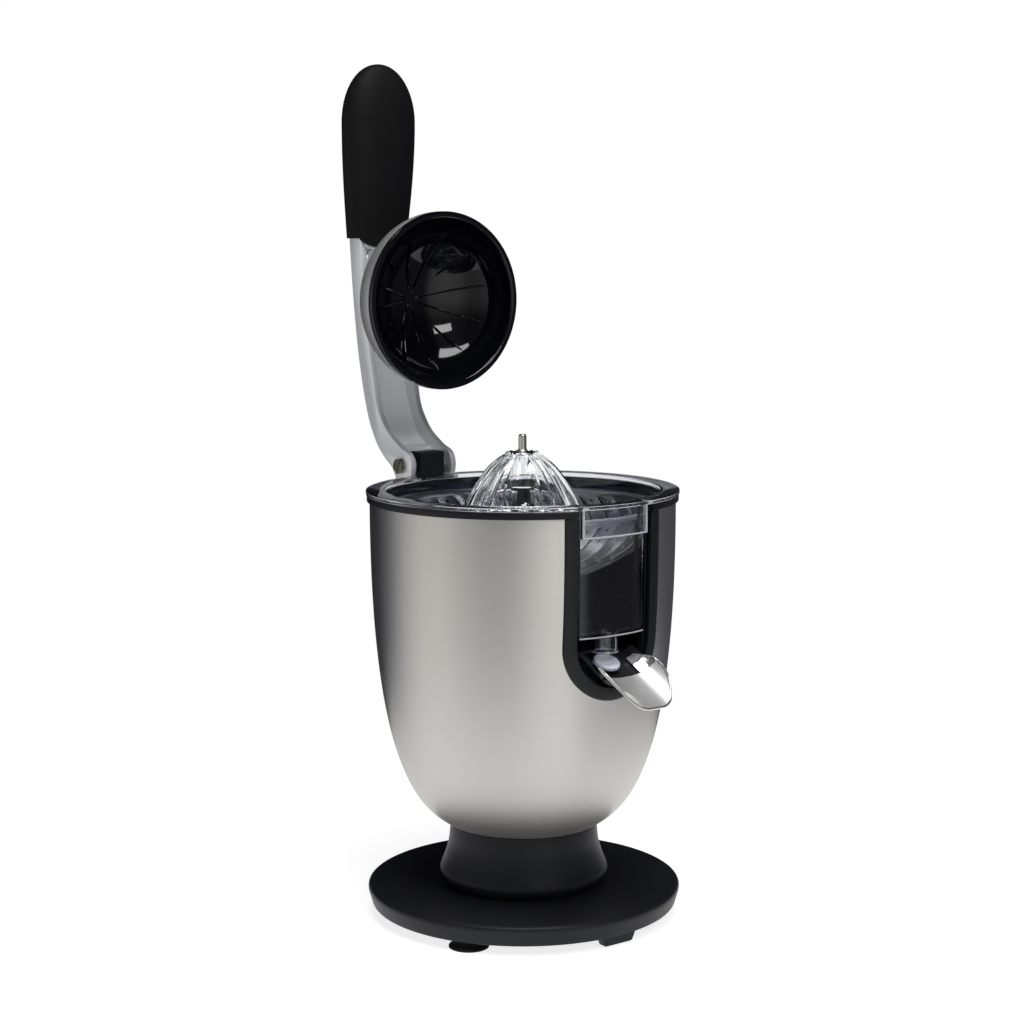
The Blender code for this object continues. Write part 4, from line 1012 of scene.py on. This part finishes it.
def cup_place(rows):
    """From a bowl drawn mouth up about Z to the cup's place, mouth towards -Y."""
    return [[(x, CUP_Y - z, CUP_Z + y) for x, y, z in row] for row in rows]


def arc_bowl(radius, depth, count, low):
    """An elliptic profile from its mouth, at a height, to its bottom."""
    out = []
    for i in range(count + 1):
        a = 0.5 * math.pi * i / count
        out.append((max(radius * math.cos(a), 0.01), low - depth * math.sin(a)))
    return out


def build_cup():
    """The black cup with its rolled lip and ribs, and the silver shell behind it."""
    outer = [(CUP_R - 0.8, 0.0), (CUP_R - 0.15, -0.25), (CUP_R, -0.9), (CUP_R, -2.2),
             (CUP_R - 0.4, -2.8), (CUP_R - 1.4, -3.0)]
    outer += arc_bowl(CUP_R - 2.2, CUP_DEPTH - 1.0, 30, -3.0)
    inner = list(reversed(arc_bowl(CUP_BORE, CUP_HOLLOW, 36, CUP_LIP)))
    inner += [(CUP_R - 3.9, -0.7), (CUP_R - 3.3, -0.2), (CUP_R - 2.6, 0.0)]
    bm = bmesh.new()
    skin(bm, cup_place(lathe_rows(outer + inner, 144)), ring=True)
    merge(bm, 2e-5)
    ribs = 12
    for k in range(ribs):
        add_cup_rib(bm, TAU * (k + 0.35) / ribs, k % 3 != 1)
    finish_mesh("cup", bm, GLOSS, "lever", ["press_cup"], 40.0)

    shell = arc_bowl(CUP_R, 42.3, 36, -3.2)
    shell += list(reversed(arc_bowl(CUP_R - 1.2, 41.1, 36, -3.2)))
    piece("cup_shell", cup_place(lathe_rows(shell, 144)), SHELL_STEEL, "lever",
          ["cup_backing"], 40.0, ring=True, weld=2e-5)


def add_cup_rib(bm, angle, long_rib):
    """A thin blade on the bowl's inside, with a toothed crest near the middle."""
    start, end = (0.07, 0.88) if long_rib else (0.44, 0.84)
    section = ((-1.0, 0.0), (-0.9, 0.6), (-0.4, 0.95), (0.0, 1.0), (0.4, 0.95), (0.9, 0.6),
               (1.0, 0.0))
    half, root = 0.6, 0.3         # half the blade's width, and how deep it is set in
    rows = []
    count = 44
    for i in range(count + 1):
        t = i / count
        r = CUP_BORE * (start + (end - start) * t)
        z = CUP_LIP - CUP_HOLLOW * math.sqrt(1.0 - (r / CUP_BORE) ** 2)
        height = 2.1 * min(1.0, 6.0 * t + 0.1) * min(1.0, 3.5 * (1.0 - t) + 0.08)
        if t < 0.5 and i % 2:
            height *= 0.55
        nr, nz = -r / CUP_BORE ** 2, -(z - CUP_LIP) / CUP_HOLLOW ** 2
        n = math.hypot(nr, nz)
        nr, nz = nr / n, nz / n
        base_r, base_z = r - nr * root, z - nz * root
        top_r, top_z = r + nr * height, z + nz * height
        row = []
        for across, up in section:
            rr, zz = base_r + (top_r - base_r) * up, base_z + (top_z - base_z) * up
            x = rr * math.cos(angle) - across * half * math.sin(angle)
            y = rr * math.sin(angle) + across * half * math.cos(angle)
            row.append((x, y, zz))
        rows.append(row)
    skin(bm, cup_place(rows), caps=True)


# ------------------------------------------------------------ studio
# brightness of the tent, and of a white sheet seen through clear plastic, against the
# angle in degrees to the right of the camera's side
TENT = [(-180, 0.02), (-140, 0.02), (-118, 0.16), (-100, 0.58), (-82, 0.88), (-64, 0.90),
        (-44, 0.62), (-24, 0.42), (-8, 0.42), (10, 0.80), (30, 0.9), (44, 0.72), (54, 0.12),
        (92, 0.09), (116, 0.12), (145, 0.08), (180, 0.04)]
BACKDROP = [(-180, 1.0), (-125, 1.0), (-105, 0.0), (105, 0.0), (125, 1.0), (180, 1.0)]
DARK_BLUE, LIGHT_BLUE = 1.22, 0.975    # blue of the tent's dark and light parts
CAMERA_TURN = 36.8       # degrees to the left of the spout
CAMERA_REACH = 1.2753    # metres from the bowl's axis
CAMERA_HEIGHT = 0.4215
CAMERA_PITCH, CAMERA_YAW, CAMERA_ROLL = 7.78, 0.291, -0.202
CAMERA_LENS = 74.49
# name, place, aim, size in metres, and power in watts
LIGHTS = [("top_softbox", (-0.1, -0.25, 1.5), (0, 0, 0.2), (0.8, 0.5), 12.6),
          ("front_softbox", (-0.06, -1.05, 1.07), (0, 0, 0.3), (0.52, 0.22), 4.0)]


def build_floor():
    """A round pale floor that glows enough to look white."""
    bm = bmesh.new()
    bmesh.ops.create_circle(bm, cap_ends=True, segments=96, radius=0.42)
    mesh = bpy.data.meshes.new("floor")
    bm.to_mesh(mesh)
    bm.free()
    floor = new_object("floor", mesh)
    floor.location = (0.0, AXIS_Y, 0.0)
    m = Nodes("floor_paper")
    m.set(Base_Color=(0.60, 0.60, 0.61, 1.0), Roughness=0.9,
          Emission_Color=(1.0, 1.0, 1.0, 1.0), Emission_Strength=0.80)
    mesh.materials.append(m.mat)


def ring_stops(values, blue):
    """Ramp stops for values round the press, with the blue of each value."""
    return [(degrees / 360.0 + 0.5, (value, value, value * blue(value)))
            for degrees, value in values]


def build_world():
    """White for the camera, and for a sheet behind the press seen through clear plastic;
    for all other light a tent that is bright low down at both sides of the front."""
    world = bpy.data.worlds.new("studio")
    bpy.context.scene.world = world
    world.use_nodes = True
    tree = world.node_tree
    tree.nodes.clear()
    link = tree.links.new
    out = add_node(tree, "ShaderNodeOutputWorld")
    mix = add_node(tree, "ShaderNodeMixShader")
    path = add_node(tree, "ShaderNodeLightPath")
    through = add_node(tree, "ShaderNodeMath", operation="MULTIPLY")
    either = add_node(tree, "ShaderNodeMath", operation="MAXIMUM")
    sheet = add_node(tree, "ShaderNodeValToRGB")
    set_stops(sheet.color_ramp, ring_stops(BACKDROP, lambda value: 1.0))
    white = add_node(tree, "ShaderNodeBackground", Color=(1.0, 1.0, 1.0, 1.0))
    tent = add_node(tree, "ShaderNodeBackground")
    coord = add_node(tree, "ShaderNodeTexCoord")
    turn = add_node(tree, "ShaderNodeMapping",
                    Rotation=(0.0, 0.0, math.radians(90.0 + CAMERA_TURN)))
    ring = add_node(tree, "ShaderNodeTexGradient", gradient_type="RADIAL")
    ramp = add_node(tree, "ShaderNodeValToRGB")
    set_stops(ramp.color_ramp, ring_stops(
        TENT, lambda value: DARK_BLUE if value < 0.3 else LIGHT_BLUE))
    split = add_node(tree, "ShaderNodeSeparateXYZ")
    height = add_node(tree, "ShaderNodeMapRange", From_Min=-0.05, From_Max=0.38, To_Min=1.1,
                      To_Max=0.2)
    link(coord.outputs["Generated"], turn.inputs["Vector"])
    link(coord.outputs["Generated"], split.inputs["Vector"])
    link(turn.outputs["Vector"], ring.inputs["Vector"])
    link(ring.outputs["Fac"], ramp.inputs["Fac"])
    link(ramp.outputs["Color"], tent.inputs["Color"])
    link(split.outputs["Z"], height.inputs["Value"])
    link(height.outputs["Result"], tent.inputs["Strength"])
    link(path.outputs["Is Camera Ray"], either.inputs[0])
    link(ring.outputs["Fac"], sheet.inputs["Fac"])
    link(path.outputs["Is Transmission Ray"], through.inputs[0])
    link(sheet.outputs["Color"], through.inputs[1])
    link(through.outputs["Value"], either.inputs[1])
    link(either.outputs["Value"], mix.inputs[0])
    link(tent.outputs["Background"], mix.inputs[1])
    link(white.outputs["Background"], mix.inputs[2])
    link(mix.outputs["Shader"], out.inputs["Surface"])


def build_camera():
    """The camera, fitted to the photograph's outlines."""
    data = bpy.data.cameras.new("camera")
    data.lens = CAMERA_LENS
    data.sensor_width = 36.0
    cam = new_object("camera", data)
    turn = math.radians(CAMERA_TURN)
    cam.location = (-CAMERA_REACH * math.sin(turn), AXIS_Y - CAMERA_REACH * math.cos(turn),
                    CAMERA_HEIGHT)
    heading = Matrix.Rotation(-turn + math.radians(CAMERA_YAW), 4, "Z")
    pitch = Matrix.Rotation(math.radians(90.0 - CAMERA_PITCH), 4, "X")
    roll = Matrix.Rotation(math.radians(CAMERA_ROLL), 4, "Z")
    cam.rotation_euler = (heading @ pitch @ roll).to_euler()
    bpy.context.scene.camera = cam


def build_lights():
    """The softboxes."""
    for name, at, aim, size, energy in LIGHTS:
        data = bpy.data.lights.new(name, "AREA")
        data.shape = "RECTANGLE"
        data.size, data.size_y = size
        data.energy = energy
        light = new_object(name, data)
        light.location = at
        direction = Vector(aim) - Vector(at)
        light.rotation_euler = direction.to_track_quat("-Z", "Y").to_euler()


paint_nodes()
for name, edge in (("hinge_block", 0.7), ("spout_carrier", 0.3), ("drip_stop_disc", 0.5),
                   ("hinge_pin", 0.3), ("pin_nut", 0.4), ("cord_gland", 0.4),
                   ("cup_screw", 0.3)):
    refine(name, edge)
build_base()
build_bowl()
build_rim()
build_container()
build_edge_beads()
build_strainer()
build_cone()
build_spout()
build_arm()
build_channel_ribs()
build_grip_shelf()
build_grip()
build_cup()
build_floor()
build_world()
build_camera()
bpy.context.scene.view_settings.view_transform = "Standard"
build_lights()
